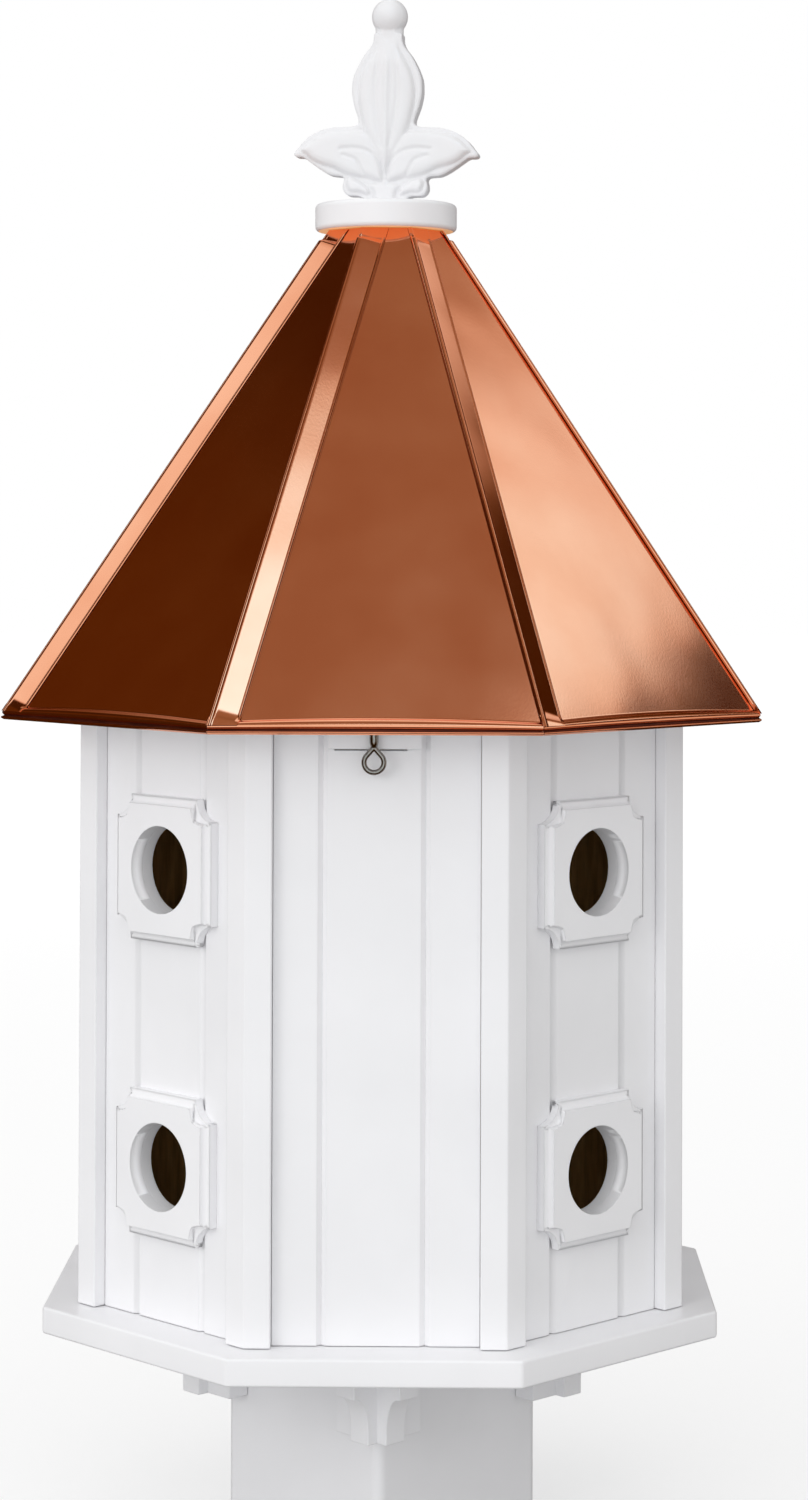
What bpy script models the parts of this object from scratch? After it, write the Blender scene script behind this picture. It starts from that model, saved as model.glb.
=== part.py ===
"""Eight-sided birdhouse with eight chambers, a copper roof, a finial and a post sleeve.

Units are metres. The front faces -Y and +Z is up. The origin is the centre of the lower
end of the post sleeve. Heights below are measured from the top of the base slab, where
the empty named birdhouse stands.
"""
import math

import bmesh
import bpy
from mathutils import Matrix, Vector

# Eight sides, named by where they face, with the turn of each about Z in degrees.
SIDES = {"front": 0, "right_front": 45, "right": 90, "right_back": 135,
         "back": 180, "left_back": 225, "left": 270, "left_front": 315}
HOLED_SIDES = ("right_front", "right_back", "left_back", "left_front")
HALF_TURN = math.radians(22.5)
GAP = 0.0003

# Base slab, whose edge stands out past the posts
BASE_LEDGE = 0.0151
BASE_THICK = 0.012
BASE_ROUND = 0.0012

# Corner posts and panels. Each radius is the distance from the centre line to a flat.
BODY_ACROSS = 0.2692
POST_LEAF = 0.0115
PANEL_RECESS = 0.0060
PANEL_THICK = 0.0055
POST_EDGE_ROUND = 0.0006
GROOVE_SPACING = 0.0438
GROOVE_WIDTH = 0.0040
GROOVE_DEPTH = 0.0020
FRONT_GROOVE_SHIFT = -0.0012
FRONT_PANEL_PLAY = 0.0008

# Entry holes and plates
HOLE_DIAMETER = 0.0381
HOLE_SEGMENTS = 40
UPPER_HOLE_DROP = 0.0666
LOWER_HOLE_HEIGHT = 0.0686
PLATE_WIDTH = 0.0635
PLATE_THICK = 0.0063
PLATE_SCOOP = 0.0095
PLATE_STEP_IN = 0.0036
PLATE_LEDGE = 0.0036
PLATE_DRAFT = 0.00002

# Floors and dividers
MID_FLOOR_THICK = 0.0060
DIVIDER_THICK = 0.0060
SOFFIT_HEIGHT = 0.2640
SOFFIT_THICK = 0.0120

# Roof. The eave hangs below the soffit, and the crown is where the copper meets the disc.
EAVE_OVERHANG = 0.0330
EAVE_DROP = 0.0020
CROWN_ACROSS = 0.0502
ROOF_SLOPE = math.radians(57.3)
COPPER_THICK = 0.0008
DECK_THICK = 0.0090
HEM_WIDTH = 0.0065
HEM_PROUD = 0.0016
SEAM_WIDTH = 0.0116
SEAM_FOLD_WIDTH = 0.0023
SEAM_PROUD = 0.0022
SEAM_LIP_THICK = 0.0005
SEAM_LIP_WIDTH = 0.0012
SEAM_FACE_DROP = 0.0010
SEAM_CRIMP_DROP = 0.0058
SEAM_CRIMP_LENGTH = 0.0018

# Disc and finial
DISC_THICK = 0.0126
DISC_RADIUS = 0.0329
DISC_ROUND = 0.0020
FINIAL_HEIGHT = 0.0954
FINIAL_THICK = 0.0100
FINIAL_ROUND = 0.0012
FINIAL_RELIEF = 0.0026
FINIAL_BALL_RADIUS = 0.0084
FINIAL_NECK_RADIUS = 0.0066
FINIAL_TURN = math.radians(-8.0)
FINIAL_LEAN = math.radians(1.0)

# Latch. Drops are measured down from the soffit.
EYE_AXIS_X = -0.0013
EYE_DROP = 0.0166
EYE_RING_RADIUS = 0.0042
EYE_WIRE_RADIUS = 0.00115
EYE_SHANK_RADIUS = 0.0019
EYE_THREAD_LENGTH = 0.0100
EYE_POINT_LENGTH = 0.0030
EYE_TAPER_LENGTH = 0.0028
PAD_WIDTH = 0.0402
PAD_SHIFT = -0.0010
PAD_DROP = 0.0112
PAD_THICK = 0.0044
SLOT_WIDTH = 0.0310
SLOT_HEIGHT = 0.0008
SLOT_SHIFT = -0.0028

# Post sleeve and its brackets
SLEEVE_WIDTH = 0.1016
SLEEVE_WALL = 0.0045
SLEEVE_CORNER = 0.0050
SLEEVE_LENGTH = 0.1000
BRACKET_HEIGHT = 0.0400
BRACKET_LEG = 0.0265
BRACKET_BACKING = 0.0112
CORBEL_THICK = 0.0115
CORBEL_REACH = 0.0140
CORBEL_NOSE = 0.0190
CORBEL_FLAT = 0.0015
CORBEL_COVE_REACH = 0.0070
CORBEL_COVE_DROP = 0.0150

# Worked out from the sizes above
BASE_TOP = SLEEVE_LENGTH + BASE_THICK + GAP
BASE_ACROSS = BODY_ACROSS + 2 * BASE_LEDGE
EAVE_ACROSS = BODY_ACROSS + 2 * EAVE_OVERHANG
BODY_RADIUS = BODY_ACROSS / 2
PANEL_RADIUS = BODY_RADIUS - PANEL_RECESS
INNER_RADIUS = PANEL_RADIUS - PANEL_THICK
ROOM_RADIUS = INNER_RADIUS - GAP
POST_SIDE = BODY_RADIUS * math.tan(HALF_TURN) - POST_LEAF
WALL_BOTTOM = GAP
WALL_TOP = SOFFIT_HEIGHT - GAP
MID_FLOOR_HEIGHT = (SOFFIT_HEIGHT - MID_FLOOR_THICK) / 2
UPPER_HOLE_HEIGHT = SOFFIT_HEIGHT - UPPER_HOLE_DROP
EYE_HEIGHT = SOFFIT_HEIGHT - EYE_DROP
PAD_HEIGHT = SOFFIT_HEIGHT - PAD_DROP
EAVE_HEIGHT = SOFFIT_HEIGHT - EAVE_DROP
EAVE_RADIUS = EAVE_ACROSS / 2
DISC_HEIGHT = EAVE_HEIGHT + (EAVE_ACROSS - CROWN_ACROSS) / 2 * math.tan(ROOF_SLOPE)
HIP_PITCH = math.atan(math.tan(ROOF_SLOPE) * math.cos(HALF_TURN))
HIP_FALL = math.tan(math.asin(math.sin(ROOF_SLOPE) * math.sin(HALF_TURN)))


def material(name, colour, roughness, metallic=0.0):
    """A Principled material with one plain colour."""
    made = bpy.data.materials.new(name)
    made.use_nodes = True
    shader = made.node_tree.nodes["Principled BSDF"]
    shader.inputs["Base Color"].default_value = (*colour, 1.0)
    shader.inputs["Roughness"].default_value = roughness
    shader.inputs["Metallic"].default_value = metallic
    return made


def collection(name):
    made = bpy.data.collections.new(name)
    bpy.context.scene.collection.children.link(made)
    return made


def empty(name, parent=None, turn=0.0, height=0.0):
    made = bpy.data.objects.new(name, None)
    made.parent = parent
    made.rotation_euler.z = turn
    made.location.z = height
    parts.objects.link(made)
    return made


def place(name, mesh, parent, look, location=(0, 0, 0), rotation=(0, 0, 0)):
    """A named object of the birdhouse that uses the mesh."""
    made = bpy.data.objects.new(name, mesh)
    made.parent = parent
    made.location = location
    made.rotation_euler = rotation
    if not mesh.materials:
        mesh.materials.append(look)
    parts.objects.link(made)
    return made


def cutter(name, mesh, parent, location=(0, 0, 0), rotation=(0, 0, 0)):
    made = bpy.data.objects.new(name, mesh)
    made.parent = parent
    made.location = location
    made.rotation_euler = rotation
    made.hide_render = True
    made.display_type = "WIRE"
    cutters.objects.link(made)
    return made


def boolean(target, tool, operation="DIFFERENCE"):
    step = target.modifiers.new(operation.lower() + "_" + tool.name, "BOOLEAN")
    step.operation = operation
    step.solver = "EXACT"
    step.object = tool


def bevel(target, width, segments=2, angle=math.radians(30)):
    step = target.modifiers.new("rounded_edges", "BEVEL")
    step.width = width
    step.segments = segments
    step.limit_method = "ANGLE"
    step.angle_limit = angle


def finished(name, shape):
    """A mesh from a bmesh, with its faces pointing out."""
    bmesh.ops.recalc_face_normals(shape, faces=shape.faces)
    mesh = bpy.data.meshes.new(name)
    shape.to_mesh(mesh)
    shape.free()
    return mesh


def box_mesh(name, low, high):
    """A box between two corners, from the cube primitive."""
    shape = bmesh.new()
    size = Vector(high) - Vector(low)
    middle = (Vector(high) + Vector(low)) / 2
    matrix = Matrix.Translation(middle) @ Matrix.Diagonal((*size, 1.0))
    bmesh.ops.create_cube(shape, size=1.0, matrix=matrix)
    return finished(name, shape)


def octagon_mesh(name, low, high, low_radius, high_radius=None, caps=True):
    """An eight-sided board or frustum whose flats face the eight sides."""
    to_corner = 1 / math.cos(HALF_TURN)
    shape = bmesh.new()
    matrix = Matrix.Translation((0, 0, (low + high) / 2)) @ Matrix.Rotation(HALF_TURN, 4, "Z")
    bmesh.ops.create_cone(shape, cap_ends=caps, segments=8, depth=high - low, matrix=matrix,
                          radius1=low_radius * to_corner,
                          radius2=(high_radius or low_radius) * to_corner)
    return finished(name, shape)


def cylinder_mesh(name, radius, depth, segments, matrix=None):
    shape = bmesh.new()
    bmesh.ops.create_cone(shape, cap_ends=True, segments=segments, radius1=radius, radius2=radius,
                          depth=depth, matrix=matrix or Matrix())
    return finished(name, shape)


def slab_mesh(name, outline, thick):
    """A flat outline in XY, extruded along Z to both sides of it."""
    curve = bpy.data.curves.new(name, "CURVE")
    curve.dimensions = "2D"
    curve.fill_mode = "BOTH"
    curve.extrude = thick / 2
    line = curve.splines.new("POLY")
    line.points.add(len(outline) - 1)
    for point, (x, y) in zip(line.points, outline):
        point.co = (x, y, 0, 1)
    line.use_cyclic_u = True
    line.use_smooth = False
    return mesh_of_curve(name, curve)


def mesh_of_curve(name, curve):
    """The curve's own surface as a closed mesh, with its flat faces joined."""
    holder = bpy.data.objects.new(name + "_curve", curve)
    bpy.context.scene.collection.objects.link(holder)
    bpy.context.view_layer.update()
    evaluated = holder.evaluated_get(bpy.context.evaluated_depsgraph_get())
    raw = bpy.data.meshes.new_from_object(evaluated)
    bpy.data.objects.remove(holder)
    shape = bmesh.new()
    shape.from_mesh(raw)
    bmesh.ops.remove_doubles(shape, verts=shape.verts, dist=1e-6)
    bmesh.ops.dissolve_limit(shape, angle_limit=math.radians(0.2), verts=shape.verts,
                             edges=shape.edges)
    bpy.data.meshes.remove(raw)
    return finished(name, shape)


def arc(centre_x, centre_y, radius_x, radius_y, start, end, steps):
    """Points along an elliptical arc; the angles are in degrees."""
    points = []
    for step in range(steps + 1):
        angle = math.radians(start + (end - start) * step / steps)
        points.append((centre_x + radius_x * math.cos(angle),
                       centre_y + radius_y * math.sin(angle)))
    return points


def smooth_shade(mesh, angle=math.radians(35)):
    mesh.shade_smooth()
    mesh.set_sharp_from_angle(angle=angle)


def make_base(house):
    mesh = octagon_mesh("base_slab", -BASE_THICK, 0, BASE_ACROSS / 2)
    slab = place("base_slab", mesh, house, white)
    bevel(slab, BASE_ROUND)


def corner_outline():
    """Section of a corner post, seen from above with its ridge towards -Y."""
    def on_face(radius, along, side):
        """A point on the flat that lies half a turn to one side of the ridge."""
        angle = side * HALF_TURN
        x = radius * math.sin(angle) - side * along * math.cos(angle)
        y = -radius * math.cos(angle) - along * math.sin(angle)
        return (x, y)

    outer = BODY_RADIUS * math.tan(HALF_TURN)
    inner = INNER_RADIUS * math.tan(HALF_TURN)
    half = [on_face(BODY_RADIUS, outer, 1), on_face(BODY_RADIUS, POST_SIDE, 1),
            on_face(INNER_RADIUS, POST_SIDE, 1), on_face(INNER_RADIUS, inner, 1)]
    mirrored = [(-x, y) for x, y in reversed(half[1:3])]
    return half + mirrored


def make_corner_posts(house):
    mesh = slab_mesh("corner_post", corner_outline(), WALL_TOP - WALL_BOTTOM)
    middle = (WALL_TOP + WALL_BOTTOM) / 2
    for number in range(8):
        turn = empty(f"corner_{number + 1}", house, math.radians(22.5 + 45 * number))
        post = place(f"corner_post_{number + 1}", mesh, turn, white, location=(0, 0, middle))
        bevel(post, POST_EDGE_ROUND, 2, math.radians(40))


def panel_mesh(name, left, right, groove_centre):
    """A wall panel seen from above: flat at the back, two V-grooves in front."""
    front = -PANEL_RADIUS
    back = -INNER_RADIUS
    outline = [(right, back), (left, back), (left, front)]
    for middle in (groove_centre - GROOVE_SPACING / 2, groove_centre + GROOVE_SPACING / 2):
        outline.append((middle - GROOVE_WIDTH / 2, front))
        outline.append((middle, front + GROOVE_DEPTH))
        outline.append((middle + GROOVE_WIDTH / 2, front))
    outline.append((right, front))
    return slab_mesh(name, outline, WALL_TOP - WALL_BOTTOM)


def make_panels(house, faces):
    half = POST_SIDE - GAP
    plain = panel_mesh("panel", -half, half, 0)
    clean_out = panel_mesh("clean_out_panel", -POST_SIDE + FRONT_PANEL_PLAY, half,
                           FRONT_GROOVE_SHIFT)
    middle = (WALL_TOP + WALL_BOTTOM) / 2
    panels = {}
    for side, face in faces.items():
        mesh = clean_out if side == "front" else plain
        panels[side] = place("panel_" + side, mesh, face, white, location=(0, 0, middle))
    slot = box_mesh("slot", (SLOT_SHIFT - SLOT_WIDTH / 2, -PANEL_RADIUS - GROOVE_DEPTH,
                             PAD_HEIGHT - SLOT_HEIGHT),
                    (SLOT_SHIFT + SLOT_WIDTH / 2, -INNER_RADIUS + GROOVE_DEPTH, PAD_HEIGHT))
    boolean(panels["front"], cutter("slot_cut", slot, faces["front"]))
    return panels


def scooped_square():
    """The plate's outline: a square whose corners are scooped out by arcs."""
    half = PLATE_WIDTH / 2
    points = []
    for quarter in range(4):
        turn = Matrix.Rotation(math.radians(90 * quarter), 2)
        for x, y in arc(half, half, PLATE_SCOOP, PLATE_SCOOP, 270, 180, 6):
            points.append(tuple(turn @ Vector((x, y))))
    return points


def plate_mesh():
    """An entry plate lying on XY, its front up, with a stepped and coved edge."""
    flat = slab_mesh("plate_blank", scooped_square(), PLATE_LEDGE)
    shape = bmesh.new()
    shape.from_mesh(flat)
    bpy.data.meshes.remove(flat)
    bmesh.ops.translate(shape, verts=shape.verts, vec=(0, 0, PLATE_LEDGE / 2))
    shape.faces.ensure_lookup_table()
    rise = PLATE_THICK - PLATE_LEDGE
    cove = rise * 0.75
    steps = [(PLATE_STEP_IN - cove, 0)]
    last_in, last_up = 0.0, 0.0
    for angle in (30, 60, 90):
        across = cove * math.sin(math.radians(angle))
        up = cove * (1 - math.cos(math.radians(angle)))
        steps.append((across - last_in, up - last_up))
        last_in, last_up = across, up
    steps.append((PLATE_DRAFT, rise - cove))
    for inset, depth in steps:
        front = [f for f in shape.faces if f.normal.z > 0.99
                 and f.calc_center_median().z > PLATE_LEDGE - 1e-5]
        top = max(front, key=lambda f: f.calc_center_median().z + f.calc_area())
        bmesh.ops.inset_region(shape, faces=[top], thickness=inset, depth=depth,
                               use_even_offset=True, use_boundary=True)
    return finished("plate", shape)


def make_plates_and_holes(faces, panels):
    mesh = plate_mesh()
    drill = cylinder_mesh("drill", HOLE_DIAMETER / 2, 4 * (PLATE_THICK + PANEL_THICK),
                          HOLE_SEGMENTS)
    face_down = (math.pi / 2, 0, 0)
    heights = {"upper": UPPER_HOLE_HEIGHT, "lower": LOWER_HOLE_HEIGHT}
    for side in HOLED_SIDES:
        for level, height in heights.items():
            at = (0, -PANEL_RADIUS - GAP, height)
            plate = place(f"plate_{side}_{level}", mesh, faces[side], white, at, face_down)
            hole = cutter(f"hole_{side}_{level}", drill, faces[side], at, face_down)
            boolean(plate, hole)
            boolean(panels[side], hole)


def make_floors(house):
    mid = octagon_mesh("mid_floor", MID_FLOOR_HEIGHT, MID_FLOOR_HEIGHT + MID_FLOOR_THICK,
                       ROOM_RADIUS)
    place("mid_floor", mid, house, inside_wood)
    levels = {"lower": (GAP, MID_FLOOR_HEIGHT - GAP),
              "upper": (MID_FLOOR_HEIGHT + MID_FLOOR_THICK + GAP, SOFFIT_HEIGHT - GAP)}
    half = DIVIDER_THICK / 2
    slot = half + GAP
    for level, (low, high) in levels.items():
        middle = (low + high) / 2
        for name, turn, start, end in (("along", 0, low, middle + GAP / 2),
                                       ("across", math.pi / 2, middle - GAP / 2, high)):
            board = box_mesh("divider", (-half, -ROOM_RADIUS, low), (half, ROOM_RADIUS, high))
            divider = place(f"divider_{level}_{name}", board, house, inside_wood,
                            rotation=(0, 0, turn))
            lap = box_mesh("lap", (-2 * half, -slot, start - GAP if name == "along" else start),
                           (2 * half, slot, end if name == "along" else end + GAP))
            boolean(divider, cutter(f"lap_{level}_{name}", lap, house, rotation=(0, 0, turn)))


def roof_radius(height):
    """Distance from the centre line to the copper's outer face at a height."""
    return EAVE_RADIUS - (height - EAVE_HEIGHT) / math.tan(ROOF_SLOPE)


def make_roof_core(house, eye_axis):
    """The soffit board and the hollow deck that carries the copper."""
    behind_copper = (COPPER_THICK + GAP) / math.sin(ROOF_SLOPE)
    top = SOFFIT_HEIGHT + SOFFIT_THICK
    soffit = octagon_mesh("soffit_board", SOFFIT_HEIGHT, top,
                          roof_radius(SOFFIT_HEIGHT) - behind_copper,
                          roof_radius(top) - behind_copper)
    board = place("soffit_board", soffit, house, white)
    drill = cylinder_mesh("eye_drill", EYE_SHANK_RADIUS + GAP, 2 * (EYE_THREAD_LENGTH + GAP), 16)
    boolean(board, cutter("eye_hole", drill, house, (*eye_axis, SOFFIT_HEIGHT)))

    low = top + GAP
    high = DISC_HEIGHT - GAP
    outer = octagon_mesh("roof_deck", low, high, roof_radius(low) - behind_copper,
                         roof_radius(high) - behind_copper)
    deck = place("roof_deck", outer, house, inside_wood)
    behind_deck = behind_copper + DECK_THICK / math.sin(ROOF_SLOPE)
    below, above = low - DECK_THICK, high + DECK_THICK
    inner = octagon_mesh("deck_hollow", below, above, roof_radius(below) - behind_deck,
                         roof_radius(above) - behind_deck)
    boolean(deck, cutter("deck_hollow", inner, house))


def roof_empties(faces):
    """For each side, an empty at the eave: X along the eave, Y up the slope, Z outwards."""
    slopes = {}
    for side, face in faces.items():
        slope = empty("slope_" + side, face)
        slope.location = (0, -EAVE_RADIUS, EAVE_HEIGHT)
        slope.rotation_euler = (ROOF_SLOPE, 0, 0)
        slopes[side] = slope
    return slopes


def slope_length(height):
    return (height - EAVE_HEIGHT) / math.sin(ROOF_SLOPE)


def panel_section():
    """Section of a copper panel as (up the slope, outwards), with its rolled eave hem."""
    top = slope_length(DISC_HEIGHT - GAP)
    hem = [(1.00, 0.00), (0.95, 0.45), (0.78, 0.85), (0.55, 1.00), (0.34, 0.86), (0.22, 0.45),
           (0.17, 0.02), (0.06, 0.02), (0.00, 0.42), (-0.09, 0.35)]
    low = -0.10 * HEM_WIDTH
    return ([(top, -COPPER_THICK), (top, 0)] + [(HEM_WIDTH * y, HEM_PROUD * z) for y, z in hem]
            + [(low, -COPPER_THICK)])


def roof_panel_mesh():
    """The section run along the eave, then cut at both hips by slanting planes."""
    half = EAVE_RADIUS * math.tan(HALF_TURN) * 1.1
    shape = bmesh.new()
    ring = [shape.verts.new((-half, y, z)) for y, z in panel_section()]
    end = shape.faces.new(ring)
    pushed = bmesh.ops.extrude_face_region(shape, geom=[end])["geom"]
    moved = [g for g in pushed if isinstance(g, bmesh.types.BMVert)]
    bmesh.ops.translate(shape, verts=moved, vec=(2 * half, 0, 0))
    bmesh.ops.recalc_face_normals(shape, faces=shape.faces)
    to_face = Matrix.Translation((0, -EAVE_RADIUS, 0)) @ Matrix.Rotation(ROOF_SLOPE, 4, "X")
    bmesh.ops.transform(shape, matrix=to_face, verts=shape.verts)
    for side in (-1, 1):
        outward = Vector((side * math.cos(HALF_TURN), math.sin(HALF_TURN), 0))
        everything = shape.verts[:] + shape.edges[:] + shape.faces[:]
        cut = bmesh.ops.bisect_plane(shape, geom=everything, plane_no=outward, dist=1e-7,
                                     plane_co=-outward * GAP / 2, clear_outer=True)["geom_cut"]
        edges = [g for g in cut if isinstance(g, bmesh.types.BMEdge)]
        bmesh.ops.contextual_create(shape, geom=edges)
    bmesh.ops.transform(shape, matrix=to_face.inverted(), verts=shape.verts)
    return finished("roof_panel", shape)


def seam_section(grown=0.0):
    """Section of a hip seam as (to the right, outwards) seen up the hip; the hip is at 0, 0."""
    fall = HIP_FALL
    under = GAP
    right = SEAM_WIDTH + grown
    lip = SEAM_LIP_THICK + grown
    roll = SEAM_FOLD_WIDTH / 2
    left = roll / 3
    if grown:
        top = SEAM_PROUD + 2 * grown
        far_left = -grown - left
        below = -GAP / 6
        return [(far_left, far_left * fall + below), (far_left, top), (SEAM_FOLD_WIDTH, top),
                (right, -right * fall + lip + 2 * grown), (right, -right * fall + below), (0, below)]
    points = [(0.0, under)]
    points += arc(roll - left, SEAM_PROUD - roll, roll, roll, 180, 40, 5)
    points += [(SEAM_FOLD_WIDTH, SEAM_PROUD - SEAM_FACE_DROP)]
    edge = right - SEAM_LIP_WIDTH
    step = SEAM_LIP_WIDTH / 4
    points += [(edge, -edge * fall + under + lip / 2), (edge + step, -edge * fall + under + lip),
               (right - step, -right * fall + under + lip), (right, -right * fall + under)]
    return points


def crimped(x, z):
    """How far out a point of the seam's section lies where its fold is pressed flat."""
    return min(z, GAP + SEAM_LIP_THICK - abs(x) * HIP_FALL)


def seam_mesh(name, grown, low, high):
    """The section run up the hip in the hip's own frame: X right, Y up the hip, Z outwards.
    Below the disc the seam's fold is pressed flat."""
    outline = seam_section(grown)
    shape = bmesh.new()
    start = (low - EAVE_HEIGHT) / math.sin(HIP_PITCH)
    end = (high - EAVE_HEIGHT) / math.sin(HIP_PITCH)
    reach = SEAM_WIDTH
    ring = [shape.verts.new((x, start - reach, z)) for x, z in outline]
    first = face = shape.faces.new(ring)
    crimp = end - SEAM_CRIMP_DROP / math.sin(HIP_PITCH)
    stations = [(end + reach, True)]
    if not grown:
        stations = [(crimp, False), (crimp + SEAM_CRIMP_LENGTH, True)] + stations
    last = start - reach
    for station, flat in stations:
        pushed = bmesh.ops.extrude_face_region(shape, geom=[face])["geom"]
        moved = [g for g in pushed if isinstance(g, bmesh.types.BMVert)]
        if face is not first:
            shape.faces.remove(face)
        face = next(g for g in pushed if isinstance(g, bmesh.types.BMFace))
        bmesh.ops.translate(shape, verts=moved, vec=(0, station - last, 0))
        last = station
        if flat and not grown:
            for vert in moved:
                vert.co.z = crimped(vert.co.x, vert.co.z)
    bmesh.ops.recalc_face_normals(shape, faces=shape.faces)
    to_hip = Matrix.Rotation(HIP_PITCH, 4, "X")
    bmesh.ops.transform(shape, matrix=to_hip, verts=shape.verts)
    for height, outward in ((low, -1), (high, 1)):
        everything = shape.verts[:] + shape.edges[:] + shape.faces[:]
        cut = bmesh.ops.bisect_plane(shape, geom=everything, plane_no=(0, 0, outward), dist=1e-7,
                                     plane_co=(0, 0, height - EAVE_HEIGHT),
                                     clear_outer=True)["geom_cut"]
        edges = [g for g in cut if isinstance(g, bmesh.types.BMEdge)]
        bmesh.ops.contextual_create(shape, geom=edges)
    return finished(name, shape)


def make_copper(house, slopes):
    seam_low = EAVE_HEIGHT + 0.45 * HEM_WIDTH
    seam_high = DISC_HEIGHT - GAP
    seam = seam_mesh("hip_seam", 0.0, seam_low, seam_high)
    room = seam_mesh("seam_room", 2 * GAP, seam_low - GAP, seam_high + GAP)
    corner_radius = EAVE_RADIUS / math.cos(HALF_TURN)
    rooms = []
    for number in range(8):
        turn = empty(f"hip_{number + 1}", house, math.radians(-22.5 + 45 * number))
        at = (0, -corner_radius, EAVE_HEIGHT)
        place(f"hip_seam_{number + 1}", seam, turn, copper, at)
        rooms.append(cutter(f"seam_room_{number + 1}", room, turn, at))
    mesh = roof_panel_mesh()
    for number, (side, slope) in enumerate(slopes.items()):
        sheet = place("roof_panel_" + side, mesh, slope, copper)
        boolean(sheet, rooms[number])
        boolean(sheet, rooms[(number + 1) % 8])


def make_disc(house):
    matrix = Matrix.Translation((0, 0, DISC_HEIGHT + DISC_THICK / 2))
    mesh = cylinder_mesh("finial_disc", DISC_RADIUS, DISC_THICK, 64, matrix)
    disc = place("finial_disc", mesh, house, white)
    bevel(disc, DISC_ROUND, 3)
    smooth_shade(mesh)


def petal_edges():
    """The right petal's upper and lower edge, from its root to its tip, as shares of the height."""
    upper = [(0.138, 0.386), (0.166, 0.372), (0.217, 0.370), (0.283, 0.364), (0.350, 0.341),
             (0.400, 0.305), (0.433, 0.265), (0.453, 0.240)]
    lower = [(0.202, 0.114), (0.273, 0.135), (0.327, 0.165), (0.371, 0.196), (0.407, 0.220),
             (0.436, 0.222), (0.450, 0.227)]
    return upper, lower


def vase_edge():
    """The vase's right edge from the petals up to the neck, as shares of the height."""
    return [(0.140, 0.416), (0.158, 0.466), (0.171, 0.524), (0.172, 0.563), (0.167, 0.612),
            (0.139, 0.677), (0.112, 0.723), (0.085, 0.758), (0.071, 0.790), (0.069, 0.808)]


def finial_foot():
    """The right edge of the foot and its lobe, from the disc up to the petal."""
    return [(0.110, 0.0), (0.110, 0.023), (0.136, 0.034), (0.182, 0.036), (0.205, 0.059),
            (0.209, 0.087)]


def finial_outline():
    """The finial's flat outline without its neck and ball, on its own height."""
    upper, lower = petal_edges()
    half = finial_foot() + lower + upper[::-1] + vase_edge()
    right = [(FINIAL_HEIGHT * x, FINIAL_HEIGHT * y) for x, y in half]
    left = [(-x, y) for x, y in reversed(right)]
    return right + left


def pillow(name, stand, middle, half_width, half_height, tilt=0.0):
    """A flattened ball on the finial's front face, in shares of the finial's height."""
    shape = bmesh.new()
    size = Matrix.Diagonal((half_width * FINIAL_HEIGHT, FINIAL_RELIEF, half_height * FINIAL_HEIGHT, 1))
    bmesh.ops.create_uvsphere(shape, u_segments=24, v_segments=12, radius=1.0, matrix=size)
    at = (middle[0] * FINIAL_HEIGHT, -FINIAL_THICK / 2, middle[1] * FINIAL_HEIGHT)
    return cutter(name, finished(name, shape), stand, at, (0, math.radians(tilt), 0))


def make_finial(house):
    """A flat moulded body with raised fields on its front, a round neck and a ball."""
    foot_width = FINIAL_HEIGHT * finial_foot()[0][0]
    foot = DISC_HEIGHT + DISC_THICK + GAP + math.sin(FINIAL_LEAN) * foot_width
    stand = empty("finial_stand", house, FINIAL_TURN, foot)
    stand.rotation_euler.y = FINIAL_LEAN
    face_down = (math.pi / 2, 0, 0)
    body = slab_mesh("finial", finial_outline(), FINIAL_THICK)
    finial = place("finial", body, stand, white, rotation=face_down)
    bevel(finial, FINIAL_ROUND, 2, math.radians(60))

    raised = [pillow("vase_field", stand, (0.0, 0.56), 0.140, 0.200)]
    for name, side in (("left", -1), ("right", 1)):
        petal, lobe = (side * 0.218, 0.246), (side * 0.112, 0.108)
        raised.append(pillow("petal_field_" + name, stand, petal, 0.178, 0.084, side * -8))
        raised.append(pillow("lobe_" + name, stand, lobe, 0.088, 0.040, side * 32))
    wedge = [(-0.034, 0.34), (0.0, 0.20), (0.034, 0.34), (0.008, 0.74), (-0.008, 0.74)]
    rib = slab_mesh("rib", [(FINIAL_HEIGHT * x, FINIAL_HEIGHT * y) for x, y in wedge],
                    2.4 * FINIAL_RELIEF)
    raised.append(cutter("rib", rib, stand, (0, -FINIAL_THICK / 2, 0), face_down))

    ball_height = FINIAL_HEIGHT - FINIAL_BALL_RADIUS
    neck_low = 0.75 * FINIAL_HEIGHT
    squeeze = 0.95 * FINIAL_THICK / 2 / FINIAL_NECK_RADIUS
    matrix = (Matrix.Translation((0, 0, (neck_low + ball_height) / 2))
              @ Matrix.Diagonal((1, squeeze, 1, 1)))
    neck = cylinder_mesh("neck", FINIAL_NECK_RADIUS, ball_height - neck_low, 28, matrix)
    raised.append(cutter("neck", neck, stand))
    shape = bmesh.new()
    bmesh.ops.create_uvsphere(shape, u_segments=28, v_segments=16, radius=FINIAL_BALL_RADIUS,
                              matrix=Matrix.Translation((0, 0, ball_height)))
    raised.append(cutter("ball", finished("ball", shape), stand))
    for form in raised:
        boolean(finial, form, "UNION")


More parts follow.
